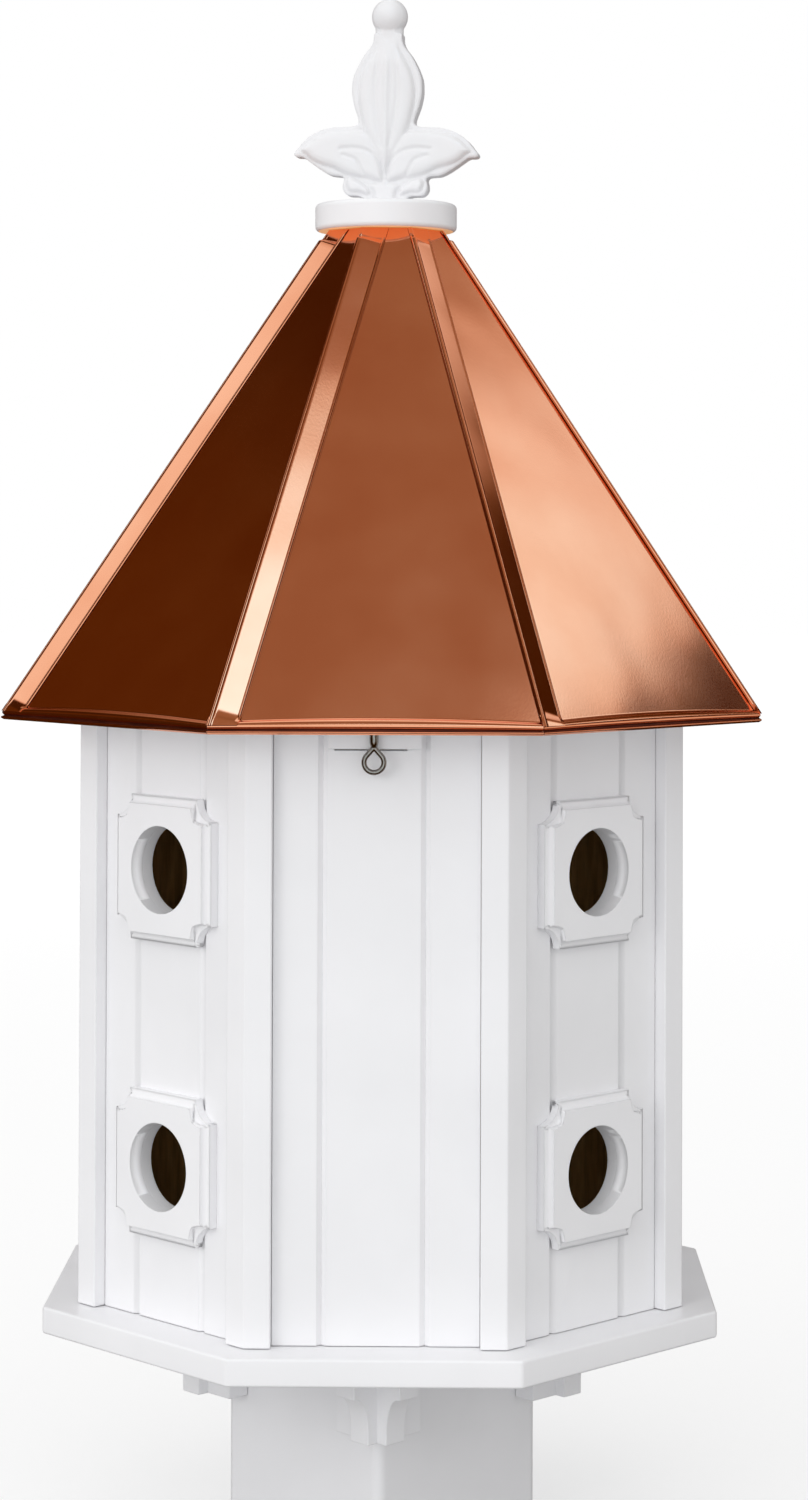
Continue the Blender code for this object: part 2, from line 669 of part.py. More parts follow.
def make_latch(house, eye_axis):
    pad = box_mesh("latch_pad", (PAD_SHIFT - PAD_WIDTH / 2, -PANEL_RADIUS - GAP - PAD_THICK,
                                 PAD_HEIGHT),
                   (PAD_SHIFT + PAD_WIDTH / 2, -PANEL_RADIUS - GAP, WALL_TOP))
    bevel(place("latch_pad", pad, house, white), POST_EDGE_ROUND)

    curve = bpy.data.curves.new("screw_eye", "CURVE")
    curve.dimensions = "3D"
    curve.bevel_depth = EYE_WIRE_RADIUS
    curve.bevel_resolution = 2
    curve.use_fill_caps = True
    thick = EYE_SHANK_RADIUS / EYE_WIRE_RADIUS
    neck = EYE_HEIGHT + 1.45 * EYE_RING_RADIUS
    top = SOFFIT_HEIGHT + EYE_THREAD_LENGTH
    route = [(0, top, 0.55 * thick), (0, top - EYE_POINT_LENGTH, thick),
             (0, SOFFIT_HEIGHT, thick), (0, neck + EYE_TAPER_LENGTH, thick), (0, neck, 1.2)]
    for x, y in arc(0, EYE_HEIGHT, EYE_RING_RADIUS, EYE_RING_RADIUS, 48, -228, 22):
        route.append((x, y, 1.0))
    route.append((-0.40 * EYE_RING_RADIUS, neck - 0.40 * EYE_RING_RADIUS, 0.72))
    line = curve.splines.new("POLY")
    line.points.add(len(route) - 1)
    for point, (x, z, width) in zip(line.points, route):
        point.co = (x, 0, z, 1)
        point.radius = width
    mesh = mesh_of_curve("screw_eye", curve)
    smooth_shade(mesh)
    place("screw_eye", mesh, house, steel, location=(*eye_axis, 0))


def make_sleeve(house):
    low = -BASE_THICK - GAP - SLEEVE_LENGTH
    half = SLEEVE_WIDTH / 2
    shape = bmesh.new()
    matrix = (Matrix.Translation((0, 0, low + SLEEVE_LENGTH / 2))
              @ Matrix.Diagonal((SLEEVE_WIDTH, SLEEVE_WIDTH, SLEEVE_LENGTH, 1)))
    bmesh.ops.create_cube(shape, size=1.0, matrix=matrix)
    ends = [f for f in shape.faces if abs(f.normal.z) > 0.9]
    bmesh.ops.delete(shape, geom=ends, context="FACES_ONLY")
    upright = [e for e in shape.edges if abs(e.verts[0].co.x - e.verts[1].co.x) < half / 10
               and abs(e.verts[0].co.y - e.verts[1].co.y) < half / 10]
    bmesh.ops.bevel(shape, geom=upright, offset=SLEEVE_CORNER, segments=5, profile=0.5,
                    affect="EDGES")
    sleeve = place("post_sleeve", finished("post_sleeve", shape), house, white,
                   rotation=(0, 0, math.pi / 4))
    wall = sleeve.modifiers.new("sleeve_wall", "SOLIDIFY")
    wall.thickness = SLEEVE_WALL
    wall.offset = -1
    wall.use_even_offset = True


def corbel_outline(backing_front):
    """Side view of a corbel as (out from the post, up), with its cove."""
    top = -BASE_THICK - GAP
    nose = backing_front + CORBEL_REACH
    cove_x = nose - CORBEL_FLAT
    cove_y = top - CORBEL_NOSE - CORBEL_COVE_DROP
    back = backing_front - BRACKET_BACKING / 2
    bottom = top - BRACKET_HEIGHT
    points = [(back, top), (back, bottom), (cove_x - CORBEL_COVE_REACH, bottom)]
    points += arc(cove_x, cove_y, CORBEL_COVE_REACH, CORBEL_COVE_DROP, 180, 90, 7)
    points += [(nose, top - CORBEL_NOSE), (nose, top)]
    return points


def make_brackets(house):
    """At each corner of the sleeve, a two-legged backing with a corbel at each leg's outer end."""
    face = SLEEVE_WIDTH / 2 + GAP
    front = face + BRACKET_BACKING
    top = -BASE_THICK - GAP
    bottom = top - BRACKET_HEIGHT
    leg_end = front - BRACKET_LEG
    backing_outline = [(face, leg_end), (front, leg_end), (front, front), (leg_end, front),
                       (leg_end, face), (face, face)]
    corbel = slab_mesh("corbel", corbel_outline(front), CORBEL_THICK)
    middle = front - CORBEL_THICK / 2
    for number, side in enumerate(("right", "back", "left", "front")):
        turn = empty("bracket_turn_" + side, house, math.radians(-45 + 90 * number))
        backing = slab_mesh("bracket_" + side, backing_outline, BRACKET_HEIGHT)
        bracket = place("bracket_" + side, backing, turn, white, (0, 0, (top + bottom) / 2))
        first = cutter("corbel_a_" + side, corbel, turn, (0, middle, 0), (math.pi / 2, 0, 0))
        second = cutter("corbel_b_" + side, corbel, turn, (middle, 0, 0),
                        (math.pi / 2, 0, math.pi / 2))
        boolean(bracket, first, "UNION")
        boolean(bracket, second, "UNION")


for leftover in list(bpy.data.objects):
    bpy.data.objects.remove(leftover)

parts = collection("birdhouse")
cutters = collection("cutters")
white = material("satin_white_pvc", (0.84, 0.84, 0.85), 0.42)
inside_wood = material("raw_inside_board", (0.16, 0.10, 0.05), 0.8)
copper = material("polished_copper", (0.93, 0.50, 0.33), 0.16, 1.0)
steel = material("plated_steel", (0.62, 0.62, 0.60), 0.28, 1.0)

house = empty("birdhouse_frame", height=BASE_TOP)
faces = {side: empty("face_" + side, house, math.radians(turn)) for side, turn in SIDES.items()}
eye_axis = (EYE_AXIS_X, -(PANEL_RADIUS + GAP + PAD_THICK + GAP + EYE_SHANK_RADIUS))

make_base(house)
make_corner_posts(house)
wall_panels = make_panels(house, faces)
make_plates_and_holes(faces, wall_panels)
make_floors(house)
make_roof_core(house, eye_axis)
make_copper(house, roof_empties(faces))
make_disc(house)
make_finial(house)
make_latch(house, eye_axis)
make_sleeve(house)
make_brackets(house)
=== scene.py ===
"""Looks of the eight-sided birdhouse: white board, polished copper, a moulded finial.

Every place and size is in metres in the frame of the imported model, with the front
towards -Y. Only the finial's outline and fields are in millimetres.
"""
import math

import bpy
import numpy as np
from mathutils import Matrix, Vector


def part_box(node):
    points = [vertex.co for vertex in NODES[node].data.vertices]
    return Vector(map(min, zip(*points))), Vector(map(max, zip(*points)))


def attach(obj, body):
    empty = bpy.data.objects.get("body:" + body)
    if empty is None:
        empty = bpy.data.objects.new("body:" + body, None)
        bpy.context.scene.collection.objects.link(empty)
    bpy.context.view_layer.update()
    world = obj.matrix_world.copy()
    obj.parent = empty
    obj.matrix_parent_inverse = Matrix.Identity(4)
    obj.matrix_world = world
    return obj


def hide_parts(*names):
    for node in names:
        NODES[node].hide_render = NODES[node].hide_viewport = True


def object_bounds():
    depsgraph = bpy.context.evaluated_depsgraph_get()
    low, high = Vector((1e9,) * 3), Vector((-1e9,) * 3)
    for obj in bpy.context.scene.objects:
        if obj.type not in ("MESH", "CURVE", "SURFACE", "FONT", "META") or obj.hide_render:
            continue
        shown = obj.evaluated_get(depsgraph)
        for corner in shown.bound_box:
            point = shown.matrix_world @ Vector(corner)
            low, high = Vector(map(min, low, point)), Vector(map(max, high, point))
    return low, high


bl_info = {
    "name": "Copper Roof Birdhouse",
    "version": (1, 0, 0),
    "blender": (4, 5, 0),
    "location": "View3D > Sidebar > Birdhouse",
    "description": "Finishes an eight-sided birdhouse and sets its studio",
    "category": "Object",
}

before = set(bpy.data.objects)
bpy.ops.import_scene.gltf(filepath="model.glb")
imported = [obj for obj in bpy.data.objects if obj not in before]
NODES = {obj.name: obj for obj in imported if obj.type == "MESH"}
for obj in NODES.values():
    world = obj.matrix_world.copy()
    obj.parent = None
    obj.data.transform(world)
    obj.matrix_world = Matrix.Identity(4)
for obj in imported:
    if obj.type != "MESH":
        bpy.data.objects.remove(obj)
CAD_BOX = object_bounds()
BASE_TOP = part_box("base_slab")[1].z

INSIDE_NODES = [n for n in NODES if n.startswith(("divider", "mid_floor", "roof_deck"))]
BOARD_NODES = [n for n in NODES if n.startswith(("base_", "corner_", "panel_", "latch_", "post_",
                                                 "bracket_", "soffit_"))]

# Eight sides, named by where they face, with the turn of each about Z in degrees
SIDES = {"front": 0, "right_front": 45, "right": 90, "right_back": 135,
         "back": 180, "left_back": 225, "left": 270, "left_front": 315}
HOLED_SIDES = ("right_front", "right_back", "left_back", "left_front")
HALF_TURN = math.radians(22.5)
GAP = 0.0003

# Where the frame holds the walls, the roof and the disc; the eave is the copper's lower edge
PANEL_RADIUS = 0.1286
PLATE_HEIGHTS = {"upper": BASE_TOP + 0.1974, "lower": BASE_TOP + 0.0686}
HOLE_DIAMETER = 0.0381
EAVE_RADIUS = 0.1676
EAVE_Z = BASE_TOP + 0.2620
ROOF_SLOPE = math.radians(57.3)
DISC_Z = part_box("finial_disc")[0].z
HIP_PITCH = math.atan(math.tan(ROOF_SLOPE) * math.cos(HALF_TURN))
HIP_FALL = math.tan(math.asin(math.sin(ROOF_SLOPE) * math.sin(HALF_TURN)))
FINIAL_TURN = math.radians(-8.0)
FINIAL_LEAN = math.radians(1.0)
FINIAL_FOOT_Z = BASE_TOP + 0.49705

# How far the front panel's sides are let out, so that its joints read as fine lines
PANEL_LET_OUT_LEFT = 0.00060
PANEL_LET_OUT_RIGHT = 0.00015

# Painted light: a glow on white board that faces the copper, for the light that copper throws at
# it
PAINTED_COPPER_LIGHT = "#ffbe66"
PAINTED_COPPER_LIGHT_STRENGTH = 0.38

# The photograph's frame and the camera that was fitted to the object's edges in it
PHOTO_WIDTH = 808
PHOTO_HEIGHT = 1500
FOCAL_PIXELS = 3216.4
CENTRE_PIXEL = (417.6, 478.1)
CAMERA_FROM_BASE = Vector((0.0333, -1.4940, 0.3477))
CAMERA_YAW = -0.0122
CAMERA_PITCH = 0.0146
CAMERA_ROLL = 0.0033
SENSOR = 36.0

FINISHES = {}


def linear(hex_colour):
    """sRGB hex such as "#ffffff" as linear RGBA."""
    values = [int(hex_colour[i:i + 2], 16) / 255 for i in (1, 3, 5)]
    return (*[v / 12.92 if v <= 0.04045 else ((v + 0.055) / 1.055) ** 2.4 for v in values], 1.0)


def add_node(tree, kind, settings=None, inputs=None):
    """One node with its settings, and its inputs linked to sockets or set to values."""
    made = tree.nodes.new(kind)
    for name, value in (settings or {}).items():
        setattr(made, name, value)
    for name, value in (inputs or {}).items():
        if isinstance(value, bpy.types.NodeSocket):
            tree.links.new(value, made.inputs[name])
        else:
            made.inputs[name].default_value = value
    return made


def new_material(name):
    """An empty material and its node tree."""
    made = bpy.data.materials.new(name)
    made.use_nodes = True
    made.node_tree.nodes.clear()
    return made, made.node_tree


def ramp(tree, factor, stops):
    """A colour ramp through (position, hex colour) stops."""
    made = add_node(tree, "ShaderNodeValToRGB", inputs={"Fac": factor})
    elements = made.color_ramp.elements
    elements[0].position, elements[0].color = stops[0][0], linear(stops[0][1])
    elements[1].position, elements[1].color = stops[-1][0], linear(stops[-1][1])
    for position, colour in stops[1:-1]:
        elements.new(position).color = linear(colour)
    return made.outputs["Color"]


def noise(tree, place, size, detail):
    """Noise with patches of about the given size."""
    return add_node(tree, "ShaderNodeTexNoise", {"noise_dimensions": "3D"},
                    {"Vector": place, "Scale": 1 / size, "Detail": detail}).outputs["Fac"]


def spread(tree, value, low, high):
    """A value from 0 to 1 moved to the range from low to high."""
    return add_node(tree, "ShaderNodeMapRange", inputs={
        "Value": value, "To Min": low, "To Max": high}).outputs["Result"]


def drawn_out(tree, place, share):
    """Places that draw a pattern out upwards, where the share is how fast it changes there."""
    return add_node(tree, "ShaderNodeMapping", inputs={
        "Vector": place, "Scale": (1.0, 1.0, share)}).outputs["Vector"]


def coated(made, tree, inputs):
    """Ends the material in one principled surface with the inputs."""
    shader = add_node(tree, "ShaderNodeBsdfPrincipled", inputs=inputs)
    add_node(tree, "ShaderNodeOutputMaterial", inputs={"Surface": shader.outputs["BSDF"]})
    return made


def satin_white(name, shade, colour, glow=0.0):
    """A satin white plastic: a slow cloud 60 mm wide in the colour and a skin of 1.2 mm orange
    peel that softens its reflections. The glow is painted light, for light from the copper below
    it."""
    made, tree = new_material(name)
    place = add_node(tree, "ShaderNodeTexCoord").outputs["Object"]
    cloud = noise(tree, place, 0.060, 3.0)
    peel = noise(tree, place, 0.0012, 2.0)
    edge = add_node(tree, "ShaderNodeBevel", {"samples": 4}, {"Radius": 0.0006}).outputs["Normal"]
    bump = add_node(tree, "ShaderNodeBump", inputs={
        "Height": peel, "Strength": 0.06, "Distance": 0.0002, "Normal": edge}).outputs["Normal"]
    return coated(made, tree, {
        "Base Color": ramp(tree, cloud, [(0.3, shade), (0.7, colour)]),
        "Roughness": spread(tree, cloud, 0.36, 0.46), "Normal": bump, "IOR": 1.5,
        "Emission Color": linear(PAINTED_COPPER_LIGHT), "Emission Strength": glow})


def satin_pvc(look):
    """Cellular PVC board, almost even white."""
    return satin_white("satin_cellular_pvc", look.board_shade, look.board_colour)


def satin_pvc_painted_copper_light(look):
    """The same board with a painted glow where it faces the copper below it."""
    return satin_white("satin_pvc_painted_copper_light", look.board_shade, look.board_colour,
                       PAINTED_COPPER_LIGHT_STRENGTH)


def cast_resin(look):
    """Cast resin of the finial, a little greyer than the boards."""
    return satin_white("satin_cast_resin", look.resin_shade, look.resin_colour)


def painted_fold_shade(look):
    """Painted shade in the narrow fold under the hem's roll: dark brown copper
    in clouds 12 mm wide."""
    made, tree = new_material("copper_fold_painted_shade")
    cloud = noise(tree, add_node(tree, "ShaderNodeTexCoord").outputs["Object"], 0.012, 4.0)
    return coated(made, tree, {
        "Base Color": ramp(tree, cloud, [(0.3, look.painted_fold_dark), (0.7, look.painted_fold_colour)]),
        "Metallic": 0.6, "Roughness": 0.45})


def polished_copper(look):
    """Bright rolled copper sheet: nearly a mirror, with fine rolling lines about 0.8 mm apart
    and slow waves about 60 mm long that bend what it reflects."""
    made, tree = new_material("polished_copper_sheet")
    place = add_node(tree, "ShaderNodeTexCoord").outputs["Object"]
    cloud = noise(tree, place, 0.045, 4.0)
    slow = add_node(tree, "ShaderNodeBump", inputs={
        "Height": noise(tree, place, 0.060, 1.0), "Strength": 0.35,
        "Distance": 0.0012}).outputs["Normal"]
    fine = add_node(tree, "ShaderNodeBump", inputs={
        "Height": noise(tree, drawn_out(tree, place, 0.04), 0.0008, 2.0), "Strength": 0.05,
        "Distance": 0.0001, "Normal": slow}).outputs["Normal"]
    return coated(made, tree, {
        "Base Color": ramp(tree, cloud, [(0.3, look.copper_shade), (0.7, look.copper_colour)]),
        "Metallic": 1.0, "Roughness": spread(tree, cloud, 0.07, 0.13), "Normal": fine})


def zinc_wire(look):
    """Zinc-plated steel wire: grey metal with sharp glints and dull specks 0.9 mm wide."""
    made, tree = new_material("zinc_plated_wire")
    specks = noise(tree, add_node(tree, "ShaderNodeTexCoord").outputs["Object"], 0.0009, 3.0)
    return coated(made, tree, {
        "Base Color": ramp(tree, specks, [(0.35, look.steel_shade), (0.65, look.steel_colour)]),
        "Metallic": 1.0, "Roughness": spread(tree, specks, 0.10, 0.15)})


def dark_inside_board(look):
    """Rough sawn dark board inside the chambers, with grain lines about 2 mm apart."""
    made, tree = new_material("dark_inside_board")
    place = add_node(tree, "ShaderNodeTexCoord").outputs["Object"]
    grain = noise(tree, drawn_out(tree, place, 0.08), 0.0020, 5.0)
    bump = add_node(tree, "ShaderNodeBump", inputs={
        "Height": grain, "Strength": 0.4, "Distance": 0.0004}).outputs["Normal"]
    return coated(made, tree, {
        "Base Color": ramp(tree, grain, [(0.3, look.inside_shade), (0.7, look.inside_colour)]),
        "Roughness": 0.85, "Normal": bump})


def finish_for(maker):
    """The finish that the function makes, made once."""
    if maker.__name__ not in FINISHES:
        FINISHES[maker.__name__] = maker(bpy.context.scene.birdhouse_look)
    return FINISHES[maker.__name__]


def give_look(names, maker):
    """Puts a finish on CAD nodes that keep their shape."""
    for name in names:
        mesh = NODES[name].data
        mesh.materials.clear()
        mesh.materials.append(finish_for(maker))


def hold(piece, node, maker, body="house"):
    """Puts a finish on a new piece, which stands for the node and rides with the body."""
    piece.data.materials.clear()
    piece.data.materials.append(finish_for(maker))
    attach(piece, body)
    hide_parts(node)


def name_piece(piece, name):
    """Names the piece and its mesh."""
    piece.name = name
    piece.data.name = name
    return piece


def only(piece):
    """Selects the piece and nothing else."""
    bpy.ops.object.select_all(action="DESELECT")
    piece.select_set(True)
    bpy.context.view_layer.objects.active = piece


def edit_all(piece):
    """Opens the piece in edit mode with everything selected."""
    only(piece)
    bpy.ops.object.mode_set(mode="EDIT")
    bpy.ops.mesh.select_all(action="SELECT")


def leave_edit():
    """Goes back to object mode."""
    bpy.ops.object.mode_set(mode="OBJECT")


def apply_step(piece, kind, **settings):
    """Adds a modifier with its settings and applies it."""
    only(piece)
    step = piece.modifiers.new(kind.lower(), kind)
    for name, value in settings.items():
        setattr(step, name, value)
    bpy.ops.object.modifier_apply(modifier=step.name)


def soft_edges(piece, width, segments=3, angle=40.0, shade=35.0):
    """Rounds the piece's sharp edges and shades what is nearly flat as smooth, with normals
    that follow the larger faces."""
    if width:
        apply_step(piece, "BEVEL", width=width, segments=segments, limit_method="ANGLE",
                   angle_limit=math.radians(angle), harden_normals=False)
    only(piece)
    bpy.ops.object.shade_smooth_by_angle(angle=math.radians(shade))
    apply_step(piece, "WEIGHTED_NORMAL", keep_sharp=True, mode="FACE_AREA_WITH_ANGLE")


def ring_piece(name, ring):
    """A flat piece from a circle whose points are moved to the ring's places."""
    bpy.ops.object.select_all(action="DESELECT")
    bpy.ops.mesh.primitive_circle_add(vertices=len(ring), radius=1.0, fill_type="NGON")
    piece = name_piece(bpy.context.active_object, name)
    for vert, place in zip(piece.data.vertices, ring):
        vert.co = place
    return piece


def run_on(piece, moves):
    """Extrudes a flat piece through the moves, one after another, into a closed bar."""
    edit_all(piece)
    for move in moves:
        bpy.ops.mesh.extrude_region_move(TRANSFORM_OT_translate={"value": move})
    bpy.ops.mesh.select_all(action="SELECT")
    bpy.ops.mesh.normals_make_consistent(inside=False)
    leave_edit()


def edit_faces(piece, wanted):
    """Opens the piece in edit mode with only the faces selected that pass the test."""
    edit_all(piece)
    bpy.ops.mesh.select_mode(type="FACE")
    bpy.ops.mesh.select_all(action="DESELECT")
    leave_edit()
    for face in piece.data.polygons:
        face.select = wanted(face)
    bpy.ops.object.mode_set(mode="EDIT")


def cut_away(piece, point, normal):
    """Cuts off what lies on the normal's side of a plane and closes the cut."""
    edit_all(piece)
    bpy.ops.mesh.bisect(plane_co=point, plane_no=normal, use_fill=True, clear_outer=True,
                        threshold=1e-6)
    leave_edit()


def turned_copy(piece, name, angle):
    """A copy of the piece, with its own mesh, turned about the centre line."""
    made = piece.copy()
    made.data = piece.data.copy()
    made.data.transform(Matrix.Rotation(angle, 4, "Z"))
    bpy.context.scene.collection.objects.link(made)
    return name_piece(made, name)


def arc(centre_x, centre_y, radius, start, end, steps):
    """Points along an arc; the angles are in degrees."""
    angles = [math.radians(start + (end - start) * step / steps) for step in range(steps + 1)]
    return [(centre_x + radius * math.cos(a), centre_y + radius * math.sin(a)) for a in angles]


def smooth_line(points, parts=4, closed=False):
    """A soft line through the points, with the given number of parts between each two."""
    count = len(points)
    line = []
    for index in range(count if closed else count - 1):
        four = []
        for offset in (-1, 0, 1, 2):
            at = index + offset
            at = at % count if closed else max(0, min(count - 1, at))
            four.append(Vector(points[at]))
        a, b, c, d = four
        for part in range(parts):
            t = part / parts
            line.append(tuple(0.5 * (2 * b + (c - a) * t + (2 * a - 5 * b + 4 * c - d) * t * t
                                     + (3 * b - a - 3 * c + d) * t ** 3)))
    if not closed:
        line.append(tuple(points[-1]))
    return line


def smooth_step(value):
    """0 to 1 with a soft start and end."""
    value = max(0.0, min(1.0, value))
    return value * value * (3 - 2 * value)


def colour_setting(name, what, default):
    """A setting for a colour as sRGB hex."""
    return bpy.props.StringProperty(name=name, description="sRGB hex colour of " + what,
                                    default=default)


def length_setting(name, description, default):
    """A setting for a length in metres."""
    return bpy.props.FloatProperty(name=name, description=description, default=default, min=0.0,
                                   unit="LENGTH")


class BirdhouseLook(bpy.types.PropertyGroup):
    """Colours of the birdhouse's finishes, and of the painted shade in the hem's fold."""
    board_colour: colour_setting("Board", "the white board", "#f2f2f4")
    board_shade: colour_setting("Board Shade", "the board's faint cloud", "#ededef")
    copper_colour: colour_setting("Copper", "the bright copper", "#f2a27c")
    copper_shade: colour_setting("Copper Shade", "the copper's duller patches", "#e8936c")
    resin_colour: colour_setting("Resin", "the finial", "#ececee")
    resin_shade: colour_setting("Resin Shade", "the finial's slow cloud", "#e6e6e8")
    # The fold's two colours are painted shade for the dark line under the hem's roll
    painted_fold_colour: colour_setting("Fold", "the tarnished fold", "#6a2a14")
    painted_fold_dark: colour_setting("Fold Shade", "the fold's darkest spots", "#4c1a0b")
    steel_colour: colour_setting("Steel", "the zinc plating", "#98928c")
    steel_shade: colour_setting("Steel Shade", "the zinc's dull specks", "#827d78")
    inside_colour: colour_setting("Inside", "the inside boards", "#c79a5c")
    inside_shade: colour_setting("Inside Grain", "the inside boards' grain", "#9c7238")


class BirdhouseStudio(bpy.types.PropertyGroup):
    """Strengths of the studio's lights."""
    fill: bpy.props.FloatProperty(
        name="Fill", description="Soft light from the front", default=1.26, min=0.0)
    back: bpy.props.FloatProperty(
        name="Back", description="Soft light from behind and below", default=0.42, min=0.0)
    key: bpy.props.FloatProperty(
        name="Key", description="Power of the soft lamp at the front left", default=9.0, min=0.0,
        unit="POWER")
    floor_reach: bpy.props.FloatProperty(
        name="Floor", description="Half width of the floor", default=12.0, subtype="DISTANCE")
    floor_glow: bpy.props.FloatProperty(
        name="Floor Glow", description="How white the camera sees the floor", default=1.16)
    floor_colour: colour_setting("Floor Bounce", "the light the floor returns", "#c8c8c8")


class BirdhouseSizes(bpy.types.PropertyGroup):
    """Sizes of the pieces that are shaped here."""
    board_round: length_setting("Board Edges", "Rounding of the boards' edges", 0.0005)
    hem_width: length_setting("Hem Width", "Width of the rolled eave hem", 0.0065)
    hem_proud: length_setting("Hem Height", "How far the hem stands out", 0.0016)
    sheet_thick: length_setting("Sheet", "Thickness of the copper sheets", 0.0008)
    seam_width: length_setting("Seam Width", "Width of a hip seam", 0.0116)
    seam_fold: length_setting("Seam Fold", "Width of a seam's raised fold", 0.0023)
    seam_proud: length_setting("Seam Height", "How far a seam's fold stands out", 0.0022)
    plate_width: length_setting("Plate Width", "Width of a square entry plate", 0.0635)
    plate_thick: length_setting("Plate Thickness", "Full thickness of an entry plate", 0.0063)
    plate_scoop: length_setting("Plate Scoop", "Radius of the scoop at a plate's corner", 0.0095)
    plate_round: length_setting("Plate Edges", "Rounding of a plate's edges", 0.00035)
    finial_thick: length_setting("Finial Thickness", "Thickness of the finial's flat body", 0.0100)
    finial_relief: length_setting("Finial Relief", "How far the finial's fields stand out", 0.0026)
    wire_radius: length_setting("Eye Wire", "Radius of the screw eye's wire", 0.00115)


class BIRDHOUSE_OT_finish_boards(bpy.types.Operator):
    """Finish all boards, and soften the edges of the brackets and the front panel"""
    bl_idname = "birdhouse.finish_boards"
    bl_label = "Finish Boards"

    def execute(self, context):
        sizes = context.scene.birdhouse_sizes
        for node in BOARD_NODES:
            made = bpy.data.objects.new(node, NODES[node].data.copy())
            context.scene.collection.objects.link(made)
            piece = name_piece(made, "board_" + node)
            edit_all(piece)
            bpy.ops.mesh.remove_doubles(threshold=1e-6)
            bpy.ops.mesh.dissolve_limited(angle_limit=math.radians(0.5))
            leave_edit()
            if node == "panel_front":
                low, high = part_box(node)
                for vert in piece.data.vertices:
                    vert.co.x += PANEL_LET_OUT_RIGHT * (vert.co.x > high.x - 1e-4)
                    vert.co.x -= PANEL_LET_OUT_LEFT * (vert.co.x < low.x + 1e-4)
            rounded = node.startswith("bracket_") or node == "panel_front"
            soft_edges(piece, sizes.board_round if rounded else 0.0)
            hold(piece, node, satin_pvc)
        give_look(INSIDE_NODES, dark_inside_board)
        return {"FINISHED"}


# Parts in a plate's scooped corner and in its cove, and its ledge's share of the thickness
SCOOP_PARTS = 12
COVE_PARTS = 6
LEDGE_SHARE = 0.57


class BIRDHOUSE_OT_shape_plates(bpy.types.Operator):
    """Shape the entry plates, with scooped corners, a coved step and a round hole"""
    bl_idname = "birdhouse.shape_plates"
    bl_label = "Shape Plates"

    def execute(self, context):
        sizes = context.scene.birdhouse_sizes
        half = sizes.plate_width / 2
        ledge = LEDGE_SHARE * sizes.plate_thick
        rise = sizes.plate_thick - ledge
        corner = arc(half, half, sizes.plate_scoop, 270, 180, SCOOP_PARTS)
        ring = []
        for quarter in range(4):
            turn = Matrix.Rotation(math.radians(90 * quarter), 2)
            ring += [(*(turn @ Vector(point)), -GAP) for point in corner]
        plate = ring_piece("entry_plate", ring)
        run_on(plate, [(0, 0, ledge + GAP)])
        edit_faces(plate, lambda face: face.center.z > ledge - 1e-6 and face.normal.z > 0.9)
        cove = 0.8 * rise
        bpy.ops.mesh.inset(thickness=1.35 * rise - cove, depth=0.0, use_even_offset=True)
        last = (0.0, 0.0)
        for step in range(1, COVE_PARTS + 1):
            angle = math.radians(90 * step / COVE_PARTS)
            point = (cove * math.sin(angle), cove * (1 - math.cos(angle)))
            bpy.ops.mesh.inset(thickness=point[0] - last[0] + 1e-6, depth=point[1] - last[1],
                               use_even_offset=True)
            last = point
        bpy.ops.mesh.inset(thickness=1e-5, depth=rise - cove, use_even_offset=True)
        leave_edit()
        bpy.ops.object.select_all(action="DESELECT")
        bpy.ops.mesh.primitive_cylinder_add(vertices=96, radius=HOLE_DIAMETER / 2,
                                            depth=6 * sizes.plate_thick)
        drill = bpy.context.active_object
        apply_step(plate, "BOOLEAN", object=drill, operation="DIFFERENCE", solver="EXACT")
        bpy.data.objects.remove(drill)
        soft_edges(plate, sizes.plate_round, 2, 45.0, 40.0)
        self.square_hole_back(plate)
        soft_edges(plate, 0.0, shade=40.0)
        plate.data.transform(Matrix.Rotation(math.pi / 2, 4, "X"))
        for side in HOLED_SIDES:
            for level, height in PLATE_HEIGHTS.items():
                made = turned_copy(plate, f"entry_plate_{side}_{level}", 0.0)
                made.data.transform(Matrix.Rotation(math.radians(SIDES[side]), 4, "Z")
                                    @ Matrix.Translation((0, -PANEL_RADIUS - GAP, height)))
                hold(made, f"plate_{side}_{level}", satin_pvc)
        bpy.data.objects.remove(plate)
        return {"FINISHED"}

    def square_hole_back(self, plate):
        """Makes the hole's back edge sharp again, where it meets the panel's hole."""
        edge = HOLE_DIAMETER / 2
        for vert in plate.data.vertices:
            if vert.co.z < 0.0005 and vert.co.xy.length < edge + 0.0005:
                vert.co.xy = vert.co.xy.normalized() * edge
                vert.co.z = -GAP
        edit_all(plate)
        bpy.ops.mesh.remove_doubles(threshold=1e-5)
        leave_edit()


# Where the painted shade of the hem's fold lies, as shares of its width and height, and how much
# narrower the hem gets towards the sheet's ends
PAINTED_SHADE_FROM = 0.07
PAINTED_SHADE_TO = 0.27
PAINTED_SHADE_FLOOR = -0.3
HEM_NARROWING = 0.30
SHEET_PARTS = 24


def hem_line(sizes):
    """The rolled hem's outer line as (up the slope, outwards), from the flat sheet down."""
    shares = [(1.16, 0.0), (1.06, 0.03), (0.98, 0.22), (0.88, 0.55), (0.74, 0.86), (0.58, 1.0),
              (0.44, 0.98), (0.34, 0.82), (0.28, 0.46), (0.24, 0.06), (0.19, -0.12), (0.13, -0.06),
              (0.08, 0.16), (0.02, 0.42), (-0.04, 0.50), (-0.09, 0.30)]
    points = [(sizes.hem_width * y, sizes.hem_proud * z) for y, z in shares]
    return smooth_line(points, 4)


